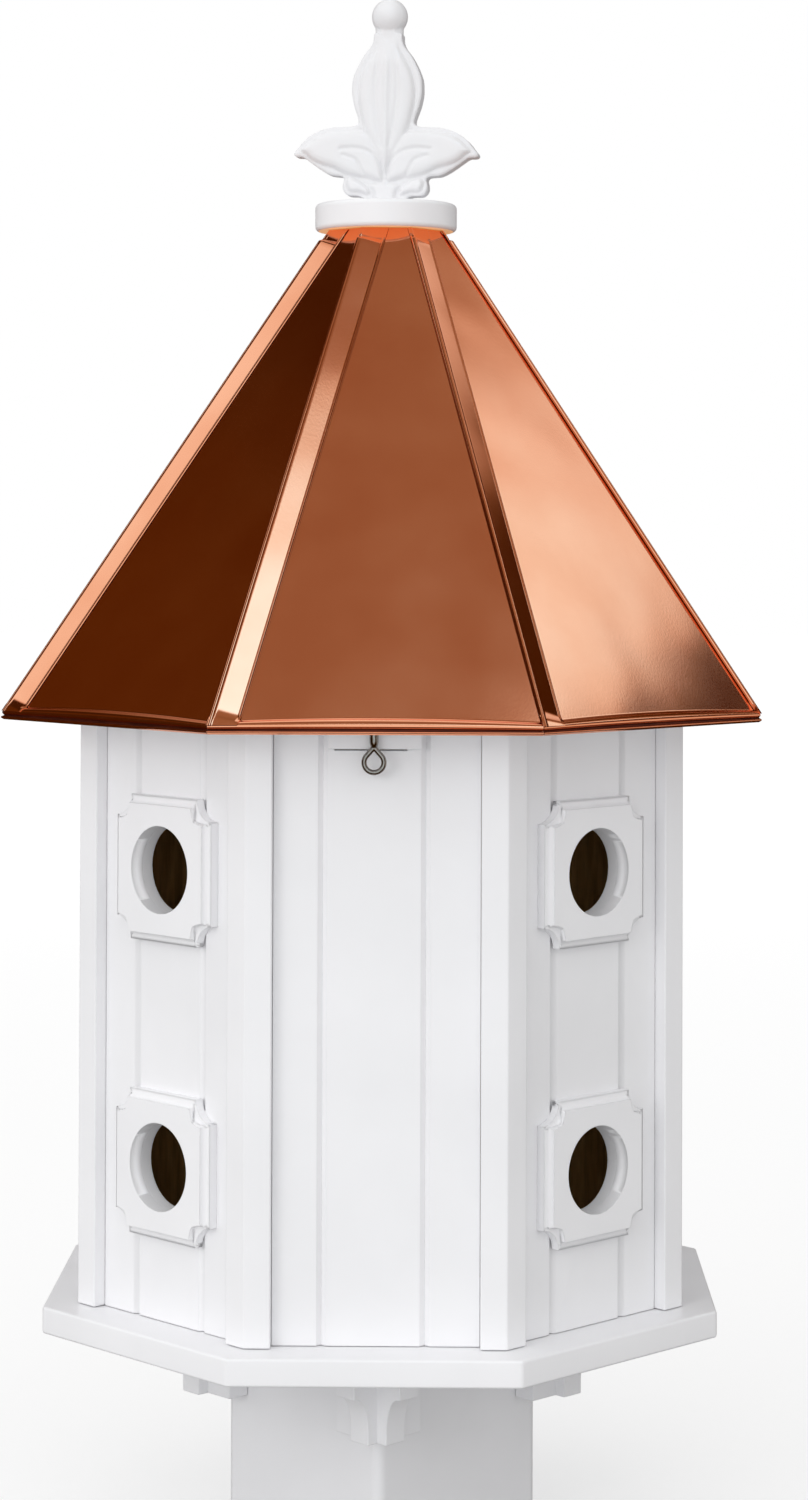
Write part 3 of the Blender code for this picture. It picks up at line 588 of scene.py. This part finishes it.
class BIRDHOUSE_OT_form_sheets(bpy.types.Operator):
    """Form the eight copper sheets of the roof, each with its rolled hem at the eave"""
    bl_idname = "birdhouse.form_sheets"
    bl_label = "Form Sheets"

    def execute(self, context):
        sizes = context.scene.birdhouse_sizes
        top = (DISC_Z - GAP - EAVE_Z) / math.sin(ROOF_SLOPE)
        half = 1.1 * EAVE_RADIUS * math.tan(HALF_TURN)
        hem = hem_line(sizes)
        low = -0.09 * sizes.hem_width
        ring = [(-half, top, -sizes.sheet_thick), (-half, top, 0)]
        ring += [(-half, y, z) for y, z in hem] + [(-half, low, -sizes.sheet_thick)]
        sheet = ring_piece("copper_sheet", ring)
        run_on(sheet, [(2 * half / SHEET_PARTS, 0, 0)] * SHEET_PARTS)
        # Faces in the fold under the hem's roll, which get the painted shade
        fold = [int(PAINTED_SHADE_FROM * sizes.hem_width < face.center.y < PAINTED_SHADE_TO * sizes.hem_width
                    and face.center.z > PAINTED_SHADE_FLOOR * sizes.hem_proud)
                for face in sheet.data.polygons]
        sheet.data.polygons.foreach_set("material_index", fold)
        for vert in sheet.data.vertices:
            if 0 < vert.co.y < 2 * sizes.hem_width:
                narrow = HEM_NARROWING * min(1.0, abs(1.1 * vert.co.x / half)) ** 2
                vert.co.y *= 1 - narrow * min(1.0, 2 - vert.co.y / sizes.hem_width)
        sheet.data.transform(Matrix.Translation((0, -EAVE_RADIUS, EAVE_Z))
                             @ Matrix.Rotation(ROOF_SLOPE, 4, "X"))
        for side in (-1, 1):
            outward = Vector((side * math.cos(HALF_TURN), math.sin(HALF_TURN), 0))
            cut_away(sheet, -outward * GAP / 2, outward)
        soft_edges(sheet, 0.0, shade=50.0)
        fold = [face.material_index for face in sheet.data.polygons]
        for side, turn in SIDES.items():
            made = turned_copy(sheet, "copper_sheet_" + side, math.radians(turn))
            hold(made, "roof_panel_" + side, polished_copper)
            # The second material is the fold's painted shade
            made.data.materials.append(finish_for(painted_fold_shade))
            made.data.polygons.foreach_set("material_index", fold)
        bpy.data.objects.remove(sheet)
        return {"FINISHED"}


# The turned lip of a hip seam, the crimp under the disc with its small pinch, and where the
# strip has points: along its climb over the hem, and from where the crimp starts
LIP_WIDE = 0.0012
LIP_PARTS = 6
CLIMB_END = 0.0100
CLIMB_LENGTH = 0.0045
CRIMP_DROP = 0.0058
CRIMP_LENGTH = 0.0024
CRIMP_HEIGHT = 0.0005
PINCH_HEIGHT = 0.0009
OVERRUN = 0.012
CLIMB_STATIONS = (0.0020, 0.0036, 0.0050, 0.0062, 0.0072, 0.0084, 0.0098, 0.0114, 0.014)
CRIMP_STATIONS = (-0.003, -0.0006, 0.0, 0.0006, 0.0012, 0.0018, 0.0026)


def seam_ring(sizes):
    """Section of a hip seam as (to the right, outwards), with the hip at 0, 0: the rolled fold,
    the flat face that falls away from it, and the thin turned lip at its edge."""
    roll = sizes.seam_fold / 2
    left = roll / 3
    points = [(0.0, GAP)] + arc(roll - left, sizes.seam_proud - roll, roll, 215, 30, 14)
    foot = (sizes.seam_fold - 0.0001, sizes.seam_proud - 0.00085)
    points += [foot, (foot[0] + 0.0005, foot[1] - 0.0003)]
    edge = sizes.seam_width - LIP_WIDE
    points += [(edge - 0.0004, -(edge - 0.0004) * HIP_FALL + GAP + 0.00030)]
    for step in range(LIP_PARTS + 1):
        share = step / LIP_PARTS
        x = edge + LIP_WIDE * share
        points.append((x, -x * HIP_FALL + GAP + 0.0002 + 0.0005 * math.sin(math.pi * share)))
    points.append((sizes.seam_width, -sizes.seam_width * HIP_FALL + GAP))
    return points


class BIRDHOUSE_OT_form_seams(bpy.types.Operator):
    """Form the eight hip seams, lifted over the hem at the eave and pressed flat at the top"""
    bl_idname = "birdhouse.form_seams"
    bl_label = "Form Seams"

    def execute(self, context):
        sizes = context.scene.birdhouse_sizes
        climb = math.sin(HIP_PITCH)
        end = (DISC_Z - GAP - EAVE_Z) / climb
        crimp = end - CRIMP_DROP / climb
        stations = [-OVERRUN, *CLIMB_STATIONS]
        stations += [crimp + offset for offset in CRIMP_STATIONS] + [end + OVERRUN]
        ring = [(x, stations[0], z) for x, z in seam_ring(sizes)]
        seam = ring_piece("hip_seam_strip", ring)
        run_on(seam, [(0, after - before, 0) for before, after in zip(stations, stations[1:])])
        for vert in seam.data.vertices:
            x, along, z = vert.co
            flat = -abs(x) * HIP_FALL
            if z > flat + 1.5 * GAP:
                lift = smooth_step((CLIMB_END - along) / CLIMB_LENGTH) * sizes.hem_proud + 2 * GAP
                z = max(z, flat + lift)
                pressed = smooth_step((along - crimp + 0.0006) / CRIMP_LENGTH)
                pinch = PINCH_HEIGHT * math.exp(-((along - crimp - 0.0022) / 0.0007) ** 2)
                pinch *= math.exp(-((x - 0.0012) / 0.0009) ** 2)
                low = flat + GAP + CRIMP_HEIGHT + pinch
                vert.co.z = z + (min(z, low) - z) * pressed
        seam.data.transform(Matrix.Rotation(HIP_PITCH, 4, "X"))
        cut_away(seam, (0, 0, 0.45 * sizes.hem_width), (0, 0, -1))
        cut_away(seam, (0, 0, DISC_Z - GAP - EAVE_Z), (0, 0, 1))
        soft_edges(seam, 0.0, shade=45.0)
        corner = EAVE_RADIUS / math.cos(HALF_TURN)
        seam.data.transform(Matrix.Translation((0, -corner, EAVE_Z)))
        for number in range(8):
            turn = math.radians(-22.5 + 45 * number)
            made = turned_copy(seam, f"hip_strip_{number + 1}", turn)
            hold(made, f"hip_seam_{number + 1}", polished_copper)
        bpy.data.objects.remove(seam)
        return {"FINISHED"}


DISC_ROUND = 0.0021


class BIRDHOUSE_OT_turn_disc(bpy.types.Operator):
    """Turn the round disc under the finial, with its soft edges"""
    bl_idname = "birdhouse.turn_disc"
    bl_label = "Turn Disc"

    def execute(self, context):
        low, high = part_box("finial_disc")
        bpy.ops.object.select_all(action="DESELECT")
        bpy.ops.mesh.primitive_cylinder_add(vertices=160, radius=(high.x - low.x) / 2,
                                            depth=high.z - low.z)
        disc = name_piece(bpy.context.active_object, "turned_disc")
        soft_edges(disc, DISC_ROUND, 7, 60.0, 35.0)
        disc.data.transform(Matrix.Translation((low + high) / 2))
        hold(disc, "finial_disc", satin_pvc)
        # The underside gets a painted glow for the light that the copper throws up at it
        disc.data.materials.append(finish_for(satin_pvc_painted_copper_light))
        disc.data.polygons.foreach_set(
            "material_index", [int(face.normal.z < -0.97) for face in disc.data.polygons])
        return {"FINISHED"}


# The finial's right half in millimetres (across, up): its outline, then what its front shows
OUTLINE = [(10.5, 0), (10.5, 2.2), (13, 3.2), (17.4, 3.4), (19.6, 5.6), (19.9, 8.3), (19.3, 10.9),
           (20.6, 12.3), (26, 12.9), (31.2, 15.7), (35.4, 18.7), (38.8, 21), (41.6, 21.2),
           (42.9, 21.7), (43.2, 22.9), (41.3, 25.3), (38.2, 29.1), (33.4, 32.5), (27, 34.7),
           (20.7, 35.3), (15.8, 35.5), (13.2, 36.8), (13.4, 39.7), (15.1, 44.5), (16.3, 50),
           (16.4, 53.7), (15.9, 58.4), (13.3, 64.6), (10.7, 69), (8.1, 72.3), (6.8, 75.4),
           (6.6, 78.7)]
VASE_FIELD = [(4.6, 78), (5.4, 72), (7.8, 67.5), (10.4, 63), (12.3, 58), (13.2, 52), (13.0, 46.5),
              (11.8, 40.8), (10.4, 35), (8.6, 30), (5, 24), (2.2, 17), (0.5, 10)]
PETAL_FIELD = [(1, 10.5), (2, 20), (6, 29), (11, 33.5), (20.5, 33.3), (26.8, 32.7), (33, 30.4),
               (37.3, 27.2), (39.8, 24.1), (37.6, 22.6), (34.8, 20.1), (30.2, 17.8),
               (24.8, 16.4), (20.1, 14.1), (16, 12.7), (10, 11.7), (4, 10.2)]
LOBE_FIELD = [(7.6, 3.6), (12, 5.0), (16.3, 5.2), (18.0, 8), (17.4, 11.0), (13.6, 11.2),
              (10.1, 8.8), (7.4, 6.5)]
FOOT_FIELD = [(0.1, -2), (5.4, -2), (5.2, 3.4), (6.2, 6.2), (7.6, 8.0), (0.1, 11)]
FOLDS = {"first": [(0.4, 12.7), (1.6, 17.3), (4.6, 21.6), (9.2, 24.3), (14.4, 25.3), (21, 24.9)],
         "second": [(1.2, 9.2), (6.4, 11.1), (9.9, 12.9), (11.9, 16.6), (14.2, 20), (19.9, 22.0)],
         "rib": [(2.6, 78), (3.6, 70), (4.8, 62), (5.2, 53), (4.6, 44), (3.4, 35), (1.8, 26)],
         "foot": [(5.8, -1), (5.5, 3.4), (6.8, 6.5), (10.1, 8.9), (13.4, 11.2)]}
CREST = [(0, 74), (0, 15)]

# The neck and the ball above the flat body, and the size of the cells that join all three
NECK_RADIUS = 0.0066
NECK_LENGTH = 0.016
NECK_Z = 0.0795
BALL_RADIUS = 0.0084
BALL_Z = 0.0870
FINIAL_CELL = 0.00050


def edge_distance(across, up, line, closed=False):
    """Distance from each place to a line of points, and whether it lies inside a closed one."""
    best = np.full(across.shape, 1e9)
    inside = np.zeros(across.shape, dtype=bool)
    pairs = list(zip(line, line[1:]))
    if closed:
        pairs.append((line[-1], line[0]))
    for (x0, y0), (x1, y1) in pairs:
        dx, dy = x1 - x0, y1 - y0
        along = np.clip(((across - x0) * dx + (up - y0) * dy) / (dx * dx + dy * dy + 1e-12), 0, 1)
        best = np.minimum(best, np.hypot(across - x0 - along * dx, up - y0 - along * dy))
        crosses = (y0 > up) != (y1 > up)
        inside ^= crosses & (across < x0 + (up - y0) * dx / (dy if dy else 1e-12))
    return best, inside


def finial_relief(across, up):
    """How far the finial's front stands out, from 0 at its flange to about 1, by place."""
    side = np.abs(across)
    total = np.zeros(across.shape)
    carved = np.zeros(across.shape)
    for field, height, width in ((VASE_FIELD, 1.0, 4.6), (PETAL_FIELD, 0.95, 4.2),
                                 (LOBE_FIELD, 0.75, 2.2), (FOOT_FIELD, 0.60, 3.5)):
        on_axis = field in (VASE_FIELD, FOOT_FIELD)
        line = smooth_line(field, 3, closed=not on_axis)
        if on_axis:
            line = [(-6.0, line[0][1])] + line + [(-6.0, line[-1][1])]
        gap, inside = edge_distance(side, up, line, closed=True)
        share = np.where(inside, np.clip(gap / width, 0, 1), 0)
        total += (height * np.sqrt(1 - (1 - share) ** 2)) ** 5
        carved = np.maximum(carved, 0.16 * np.exp(-(gap / 0.7) ** 2))
    total = total ** 0.2
    total -= np.where(total < 0.55, carved, 0)
    fade = np.clip((76 - up) / 14, 0, 1) * np.clip((up - 12) / 10, 0, 1)
    for fold, depth, width in (("first", 0.34, 0.8), ("second", 0.30, 0.8), ("rib", 0.22, 0.9),
                               ("foot", 0.36, 0.8)):
        gap, _ = edge_distance(side, up, smooth_line(FOLDS[fold], 4))
        total -= depth * np.exp(-(gap / width) ** 2) * (fade if fold == "rib" else 1)
    gap, _ = edge_distance(side, up, CREST)
    total += 0.34 * np.exp(-(gap / 1.3) ** 2) * fade
    ending = np.clip((80 - up) / 16, 0, 1)
    return np.clip(total, -0.18, None) * ending * ending * (3 - 2 * ending)


class BIRDHOUSE_OT_carve_finial(bpy.types.Operator):
    """Carve the fleur-de-lis finial: its flat body, raised fields, folds, neck and ball"""
    bl_idname = "birdhouse.carve_finial"
    bl_label = "Carve Finial"

    def execute(self, context):
        sizes = context.scene.birdhouse_sizes
        thick = sizes.finial_thick
        half = [(x / 1000, z / 1000) for x, z in smooth_line(OUTLINE, 3)]
        ring = [(x, -thick / 2, z) for x, z in half]
        ring += [(-x, -thick / 2, z) for x, z in reversed(half)]
        body = ring_piece("carved_finial", ring)
        run_on(body, [(0, thick, 0)])
        bpy.ops.mesh.primitive_cylinder_add(vertices=64, radius=NECK_RADIUS, depth=NECK_LENGTH,
                                            location=(0, 0, NECK_Z))
        neck = bpy.context.active_object
        neck.scale.y = 0.80
        bpy.ops.mesh.primitive_uv_sphere_add(segments=64, ring_count=40, radius=BALL_RADIUS,
                                             location=(0, 0, BALL_Z))
        ball = bpy.context.active_object
        only(body)
        neck.select_set(True)
        ball.select_set(True)
        bpy.ops.object.join()
        apply_step(body, "REMESH", mode="VOXEL", voxel_size=FINIAL_CELL)
        mesh = body.data
        flat = np.empty(3 * len(mesh.vertices))
        mesh.vertices.foreach_get("co", flat)
        places = flat.reshape(-1, 3)
        across, up = places[:, 0] * 1000, places[:, 2] * 1000
        line = [(x * 1000, z * 1000) for x, z in half]
        edge, _ = edge_distance(np.abs(across), up, line)
        round_edge = 1.3
        drop = round_edge - np.sqrt(np.clip(round_edge ** 2
                                            - (round_edge - np.clip(edge, 0, round_edge)) ** 2,
                                            0, None))
        drop = np.where(up > 77, 0, drop) / 1000
        relief = finial_relief(across, up) * sizes.finial_relief
        front = places[:, 1] < -thick / 2 + 0.0004
        back = places[:, 1] > thick / 2 - 0.0004
        depth = places[:, 1]
        share = np.clip((78 - up) / 8, 0, 1)
        share = share * share * (3 - 2 * share)
        carved = np.where(front, -(thick / 2 - drop + relief), np.where(back, thick / 2 - drop,
                                                                        depth))
        outer = np.where(front, np.minimum(depth, carved), np.maximum(depth, carved))
        places[:, 1] = np.where(front | back, carved * share + outer * (1 - share), depth)
        mesh.vertices.foreach_set("co", places.ravel())
        mesh.update()
        apply_step(body, "SMOOTH", factor=0.5, iterations=3)
        only(body)
        bpy.ops.object.shade_smooth()
        mesh.transform(Matrix.Translation((0, 0, FINIAL_FOOT_Z))
                       @ Matrix.Rotation(FINIAL_TURN, 4, "Z")
                       @ Matrix.Rotation(FINIAL_LEAN, 4, "Y"))
        hold(body, "finial", cast_resin)
        return {"FINISHED"}


# The screw eye: its centre line, the ring's and the shank's radius, and in ring radii how far
# the legs meet above the ring's centre and where the shank's lowest part ends
EYE_AXIS_X = -0.0013
EYE_RING = 0.0042
EYE_SHANK = 0.0019
EYE_REACH = 1.52
EYE_NECK = 1.45
EYE_CELL = 0.00015


class BIRDHOUSE_OT_bend_eye(bpy.types.Operator):
    """Bend the screw eye: a closed drop-shaped ring of wire on a threaded shank"""
    bl_idname = "birdhouse.bend_eye"
    bl_label = "Bend Eye"

    def execute(self, context):
        sizes = context.scene.birdhouse_sizes
        low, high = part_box("screw_eye")
        axis = Vector((EYE_AXIS_X, (low.y + high.y) / 2, 0))
        ring = EYE_RING
        centre = low.z + ring + sizes.wire_radius
        neck = centre + EYE_NECK * ring
        bpy.ops.object.select_all(action="DESELECT")
        bpy.ops.mesh.primitive_torus_add(major_radius=ring, minor_radius=sizes.wire_radius,
                                         major_segments=96, minor_segments=32,
                                         rotation=(math.pi / 2, 0, 0))
        bpy.ops.object.transform_apply(location=True, rotation=True, scale=True)
        eye = name_piece(bpy.context.active_object, "bent_screw_eye")
        leg = math.acos(1 / EYE_REACH)
        out, rise = math.sin(leg), math.cos(leg)
        for vert in eye.data.vertices:
            x, z = vert.co.x, vert.co.z
            from_top = math.atan2(abs(x), z)
            if from_top < leg:
                share = from_top / leg
                side = 1 if x > 0 else -1
                beyond = math.hypot(x, z) - ring
                vert.co.x = side * out * (share * ring + beyond)
                along = EYE_REACH + (rise - EYE_REACH) * share
                vert.co.z = along * ring + beyond * rise
        eye.data.transform(Matrix.Translation((0, 0, centre)))
        bpy.ops.mesh.primitive_cylinder_add(vertices=48, radius=EYE_SHANK, depth=0.001,
                                            end_fill_type="NGON",
                                            location=(0, 0, high.z - 0.0005))
        screw = bpy.context.active_object
        edit_faces(screw, lambda face: face.normal.z < -0.9)
        for drop, share in ((high.z - 0.001 - neck - 0.0026, 1.0), (0.0010, 0.93), (0.0014, 0.66),
                            (0.0016, 0.70)):
            bpy.ops.mesh.extrude_region_move(TRANSFORM_OT_translate={"value": (0, 0, -drop)})
            bpy.ops.transform.resize(value=(share, share, 1), center_override=(0, 0, 0))
        leave_edit()
        only(eye)
        screw.select_set(True)
        bpy.ops.object.join()
        apply_step(eye, "REMESH", mode="VOXEL", voxel_size=EYE_CELL)
        apply_step(eye, "SMOOTH", factor=0.5, iterations=6)
        only(eye)
        bpy.ops.object.shade_smooth()
        eye.data.transform(Matrix.Translation(axis))
        hold(eye, "screw_eye", zinc_wire, "screw_eye")
        return {"FINISHED"}


def sky_lobe(tree, direction, towards, inner, outer, strength):
    """A soft patch of light in the reflected studio, by angle from one direction."""
    aim = Vector(towards).normalized()
    dot = add_node(tree, "ShaderNodeVectorMath", {"operation": "DOT_PRODUCT"})
    tree.links.new(direction, dot.inputs[0])
    dot.inputs[1].default_value = aim
    return add_node(tree, "ShaderNodeMapRange", {"interpolation_type": "SMOOTHSTEP"}, {
        "Value": dot.outputs["Value"], "From Min": math.cos(math.radians(outer)),
        "From Max": math.cos(math.radians(inner)), "To Max": strength}).outputs["Result"]


def maths(tree, operation, first, second):
    """One calculation with two sockets or numbers."""
    made = add_node(tree, "ShaderNodeMath", {"operation": operation})
    for socket, value in zip(made.inputs, (first, second)):
        if isinstance(value, bpy.types.NodeSocket):
            tree.links.new(value, socket)
        else:
            socket.default_value = value
    return made.outputs["Value"]


# Soft patches of light in the reflected studio: direction, angles in degrees, strength. Those
# at the high right end below the height where a sheet's dark triangle starts
HIGH_RIGHT = (((0.66, 0.12, 0.72), 8, 26, 0.45), ((0.760, 0.25, 0.60), 1, 9, 1.75))
SOFTBOXES = (((0.14, -0.40, 0.90), 4, 38, 0.30), ((0.17, -0.60, 0.78), 8, 13, 3.4),
             ((-0.75, -0.02, 0.68), 5, 14, 1.45), ((-0.05, 0.50, 0.86), 10, 32, 1.2),
             ((0.0, -0.985, 0.17), 14, 46, 1.25), ((1.0, 0.0, 0.05), 6, 30, 0.9),
             ((0.60, 0.60, 0.54), 1, 8, 1.0), ((-0.78, 0.31, 0.55), 1, 9, 0.05))
HIGH_RIGHT_START = 0.576
HIGH_RIGHT_FULL = 0.598

# The room's own faint light, its colour by quarter of its strength, and where the fill is from
ROOM_LIGHT = 0.058
ROOM_TINTS = [(0.0, "#ff9a10"), (0.03, "#ffa62c"), (0.0725, "#ffd8b0"), (0.10, "#ffe0c0"),
              (0.2875, "#f1fbff"), (0.475, "#c9edff"), (0.9, "#a2d9ff")]
FILL_FROM = (-0.34, -0.90, 0.12)

# The key lamp, and the floor as the camera sees it, which gets brighter between two distances
KEY_PLACE = (-1.3, -1.9, 0.8)
KEY_SIZE = 1.2
FLOOR_SEEN = "#f4f4f4"
FLOOR_FADE = (0.6, 4.0)
FLOOR_FAR_GLOW = 0.14


def set_world(studio):
    """White for the camera, a soft fill from the front for the boards, and for the polished
    copper a dark warm room with soft patches of light, which tint from brown to white."""
    world = bpy.data.worlds.new("studio")
    bpy.context.scene.world = world
    world.use_nodes = True
    tree = world.node_tree
    tree.nodes.clear()
    direction = add_node(tree, "ShaderNodeTexCoord").outputs["Generated"]
    path = add_node(tree, "ShaderNodeLightPath")
    height = add_node(tree, "ShaderNodeSeparateXYZ", inputs={"Vector": direction}).outputs["Z"]
    above = add_node(tree, "ShaderNodeMapRange", {"interpolation_type": "SMOOTHSTEP"}, {
        "Value": height, "From Min": HIGH_RIGHT_START,
        "From Max": HIGH_RIGHT_FULL}).outputs["Result"]
    high = [sky_lobe(tree, direction, *lobe) for lobe in HIGH_RIGHT]
    total = maths(tree, "MULTIPLY", maths(tree, "ADD", *high), above)
    for lobe in SOFTBOXES:
        total = maths(tree, "ADD", total, sky_lobe(tree, direction, *lobe))
    total = maths(tree, "ADD", total, ROOM_LIGHT)
    tint = ramp(tree, maths(tree, "MULTIPLY", total, 0.25), ROOM_TINTS)
    front = sky_lobe(tree, direction, FILL_FROM, 10, 150, studio.fill - studio.back)
    seen = add_node(tree, "ShaderNodeBackground", inputs={"Color": linear("#ffffff")})
    fill = add_node(tree, "ShaderNodeBackground", inputs={
        "Color": linear("#ffffff"), "Strength": maths(tree, "ADD", front, studio.back)})
    mirrored = add_node(tree, "ShaderNodeBackground", inputs={"Color": tint, "Strength": total})
    straight = maths(tree, "LESS_THAN", path.outputs["Diffuse Depth"], 0.5)
    mirrors = maths(tree, "MULTIPLY", path.outputs["Is Glossy Ray"], straight)
    first = add_node(tree, "ShaderNodeMixShader", inputs={"Fac": mirrors})
    tree.links.new(fill.outputs["Background"], first.inputs[1])
    tree.links.new(mirrored.outputs["Background"], first.inputs[2])
    second = add_node(tree, "ShaderNodeMixShader", inputs={"Fac": path.outputs["Is Camera Ray"]})
    tree.links.new(first.outputs["Shader"], second.inputs[1])
    tree.links.new(seen.outputs["Background"], second.inputs[2])
    add_node(tree, "ShaderNodeOutputWorld", inputs={"Surface": second.outputs["Shader"]})


def add_floor(studio):
    """A pale floor under the post, brighter to the camera than it is lit, with its shadow."""
    bpy.ops.mesh.primitive_plane_add(size=2 * studio.floor_reach, location=(0, 0, 0))
    floor = bpy.context.active_object
    floor.name = "studio_floor"
    made, tree = new_material("pale_floor")
    seen = add_node(tree, "ShaderNodeLightPath").outputs["Is Camera Ray"]
    colour = ramp(tree, seen, [(0.0, studio.floor_colour), (1.0, FLOOR_SEEN)])
    matt = add_node(tree, "ShaderNodeBsdfDiffuse", inputs={"Color": colour})
    place = add_node(tree, "ShaderNodeTexCoord").outputs["Object"]
    reach = add_node(tree, "ShaderNodeVectorMath", {"operation": "LENGTH"}, {0: place})
    brighter = add_node(tree, "ShaderNodeMapRange", {"interpolation_type": "SMOOTHSTEP"}, {
        "Value": reach.outputs["Value"], "From Min": FLOOR_FADE[0], "From Max": FLOOR_FADE[1],
        "To Min": studio.floor_glow,
        "To Max": studio.floor_glow + FLOOR_FAR_GLOW}).outputs["Result"]
    glow = add_node(tree, "ShaderNodeEmission", inputs={"Color": linear("#ffffff"),
                                                        "Strength": brighter})
    mix = add_node(tree, "ShaderNodeMixShader", inputs={"Fac": maths(tree, "MULTIPLY", seen, 0.5)})
    tree.links.new(matt.outputs["BSDF"], mix.inputs[1])
    tree.links.new(glow.outputs["Emission"], mix.inputs[2])
    add_node(tree, "ShaderNodeOutputMaterial", inputs={"Surface": mix.outputs["Shader"]})
    floor.data.materials.append(made)
    floor.visible_glossy = False


def add_lamp(name, location, target, size, power):
    """A round soft lamp that polished metal doesn't mirror."""
    bpy.ops.object.light_add(type="AREA", location=location)
    lamp = bpy.context.active_object
    lamp.name = name
    lamp.data.shape = "DISK"
    lamp.data.size = size
    lamp.data.energy = power
    lamp.visible_glossy = False
    lamp.rotation_euler = (Vector(target) - Vector(location)).to_track_quat("-Z", "Y").to_euler()


def add_camera():
    """The camera that sees the object as the photograph does."""
    bpy.ops.object.camera_add()
    camera = bpy.context.active_object
    camera.name = "photo_camera"
    forward = Vector((math.cos(CAMERA_PITCH) * math.sin(CAMERA_YAW),
                      math.cos(CAMERA_PITCH) * math.cos(CAMERA_YAW), math.sin(CAMERA_PITCH)))
    level_right = forward.cross(Vector((0, 0, 1))).normalized()
    level_up = level_right.cross(forward)
    right = math.cos(CAMERA_ROLL) * level_right + math.sin(CAMERA_ROLL) * level_up
    up = right.cross(forward)
    turned = Matrix((right, up, -forward)).transposed().to_4x4()
    camera.matrix_world = Matrix.Translation(CAMERA_FROM_BASE + Vector((0, 0, BASE_TOP))) @ turned
    camera.data.sensor_width = SENSOR
    camera.data.lens = FOCAL_PIXELS / PHOTO_HEIGHT * SENSOR
    camera.data.shift_x = (PHOTO_WIDTH / 2 - CENTRE_PIXEL[0]) / PHOTO_HEIGHT
    camera.data.shift_y = (CENTRE_PIXEL[1] - PHOTO_HEIGHT / 2) / PHOTO_HEIGHT
    bpy.context.scene.camera = camera


class BIRDHOUSE_OT_set_studio(bpy.types.Operator):
    """Add the camera, the floor, the world and the lamp"""
    bl_idname = "birdhouse.set_studio"
    bl_label = "Set Studio"

    def execute(self, context):
        studio = context.scene.birdhouse_studio
        add_camera()
        add_floor(studio)
        set_world(studio)
        middle = (CAD_BOX[0] + CAD_BOX[1]) / 2
        add_lamp("key_lamp", KEY_PLACE, middle, KEY_SIZE, studio.key)
        context.scene.view_settings.view_transform = "Standard"
        return {"FINISHED"}


class BIRDHOUSE_PT_tools(bpy.types.Panel):
    """Lists the birdhouse's steps and settings"""
    bl_label = "Birdhouse"
    bl_idname = "BIRDHOUSE_PT_tools"
    bl_space_type = "VIEW_3D"
    bl_region_type = "UI"
    bl_category = "Birdhouse"

    def draw(self, context):
        layout = self.layout
        scene = context.scene
        for group in (scene.birdhouse_sizes, scene.birdhouse_look, scene.birdhouse_studio):
            box = layout.box()
            for name in group.__annotations__:
                box.prop(group, name)
        for step in STEPS:
            layout.operator(step.bl_idname)


STEPS = (BIRDHOUSE_OT_finish_boards, BIRDHOUSE_OT_shape_plates, BIRDHOUSE_OT_form_sheets,
         BIRDHOUSE_OT_form_seams, BIRDHOUSE_OT_turn_disc, BIRDHOUSE_OT_carve_finial,
         BIRDHOUSE_OT_bend_eye, BIRDHOUSE_OT_set_studio)
GROUPS = (BirdhouseSizes, BirdhouseLook, BirdhouseStudio)


def register():
    """Adds the steps, the settings and the panel."""
    for made in (*GROUPS, *STEPS, BIRDHOUSE_PT_tools):
        bpy.utils.register_class(made)
    bpy.types.Scene.birdhouse_sizes = bpy.props.PointerProperty(type=BirdhouseSizes)
    bpy.types.Scene.birdhouse_look = bpy.props.PointerProperty(type=BirdhouseLook)
    bpy.types.Scene.birdhouse_studio = bpy.props.PointerProperty(type=BirdhouseStudio)


def unregister():
    """Takes them away again."""
    del bpy.types.Scene.birdhouse_studio
    del bpy.types.Scene.birdhouse_look
    del bpy.types.Scene.birdhouse_sizes
    for made in (BIRDHOUSE_PT_tools, *reversed(STEPS), *reversed(GROUPS)):
        bpy.utils.unregister_class(made)


def main():
    """Runs every step."""
    register()
    bpy.ops.object.select_all(action="DESELECT")
    bpy.ops.birdhouse.finish_boards()
    bpy.ops.birdhouse.shape_plates()
    bpy.ops.birdhouse.form_sheets()
    bpy.ops.birdhouse.form_seams()
    bpy.ops.birdhouse.turn_disc()
    bpy.ops.birdhouse.carve_finial()
    bpy.ops.birdhouse.bend_eye()
    bpy.ops.birdhouse.set_studio()


if __name__ == "__main__":
    main()
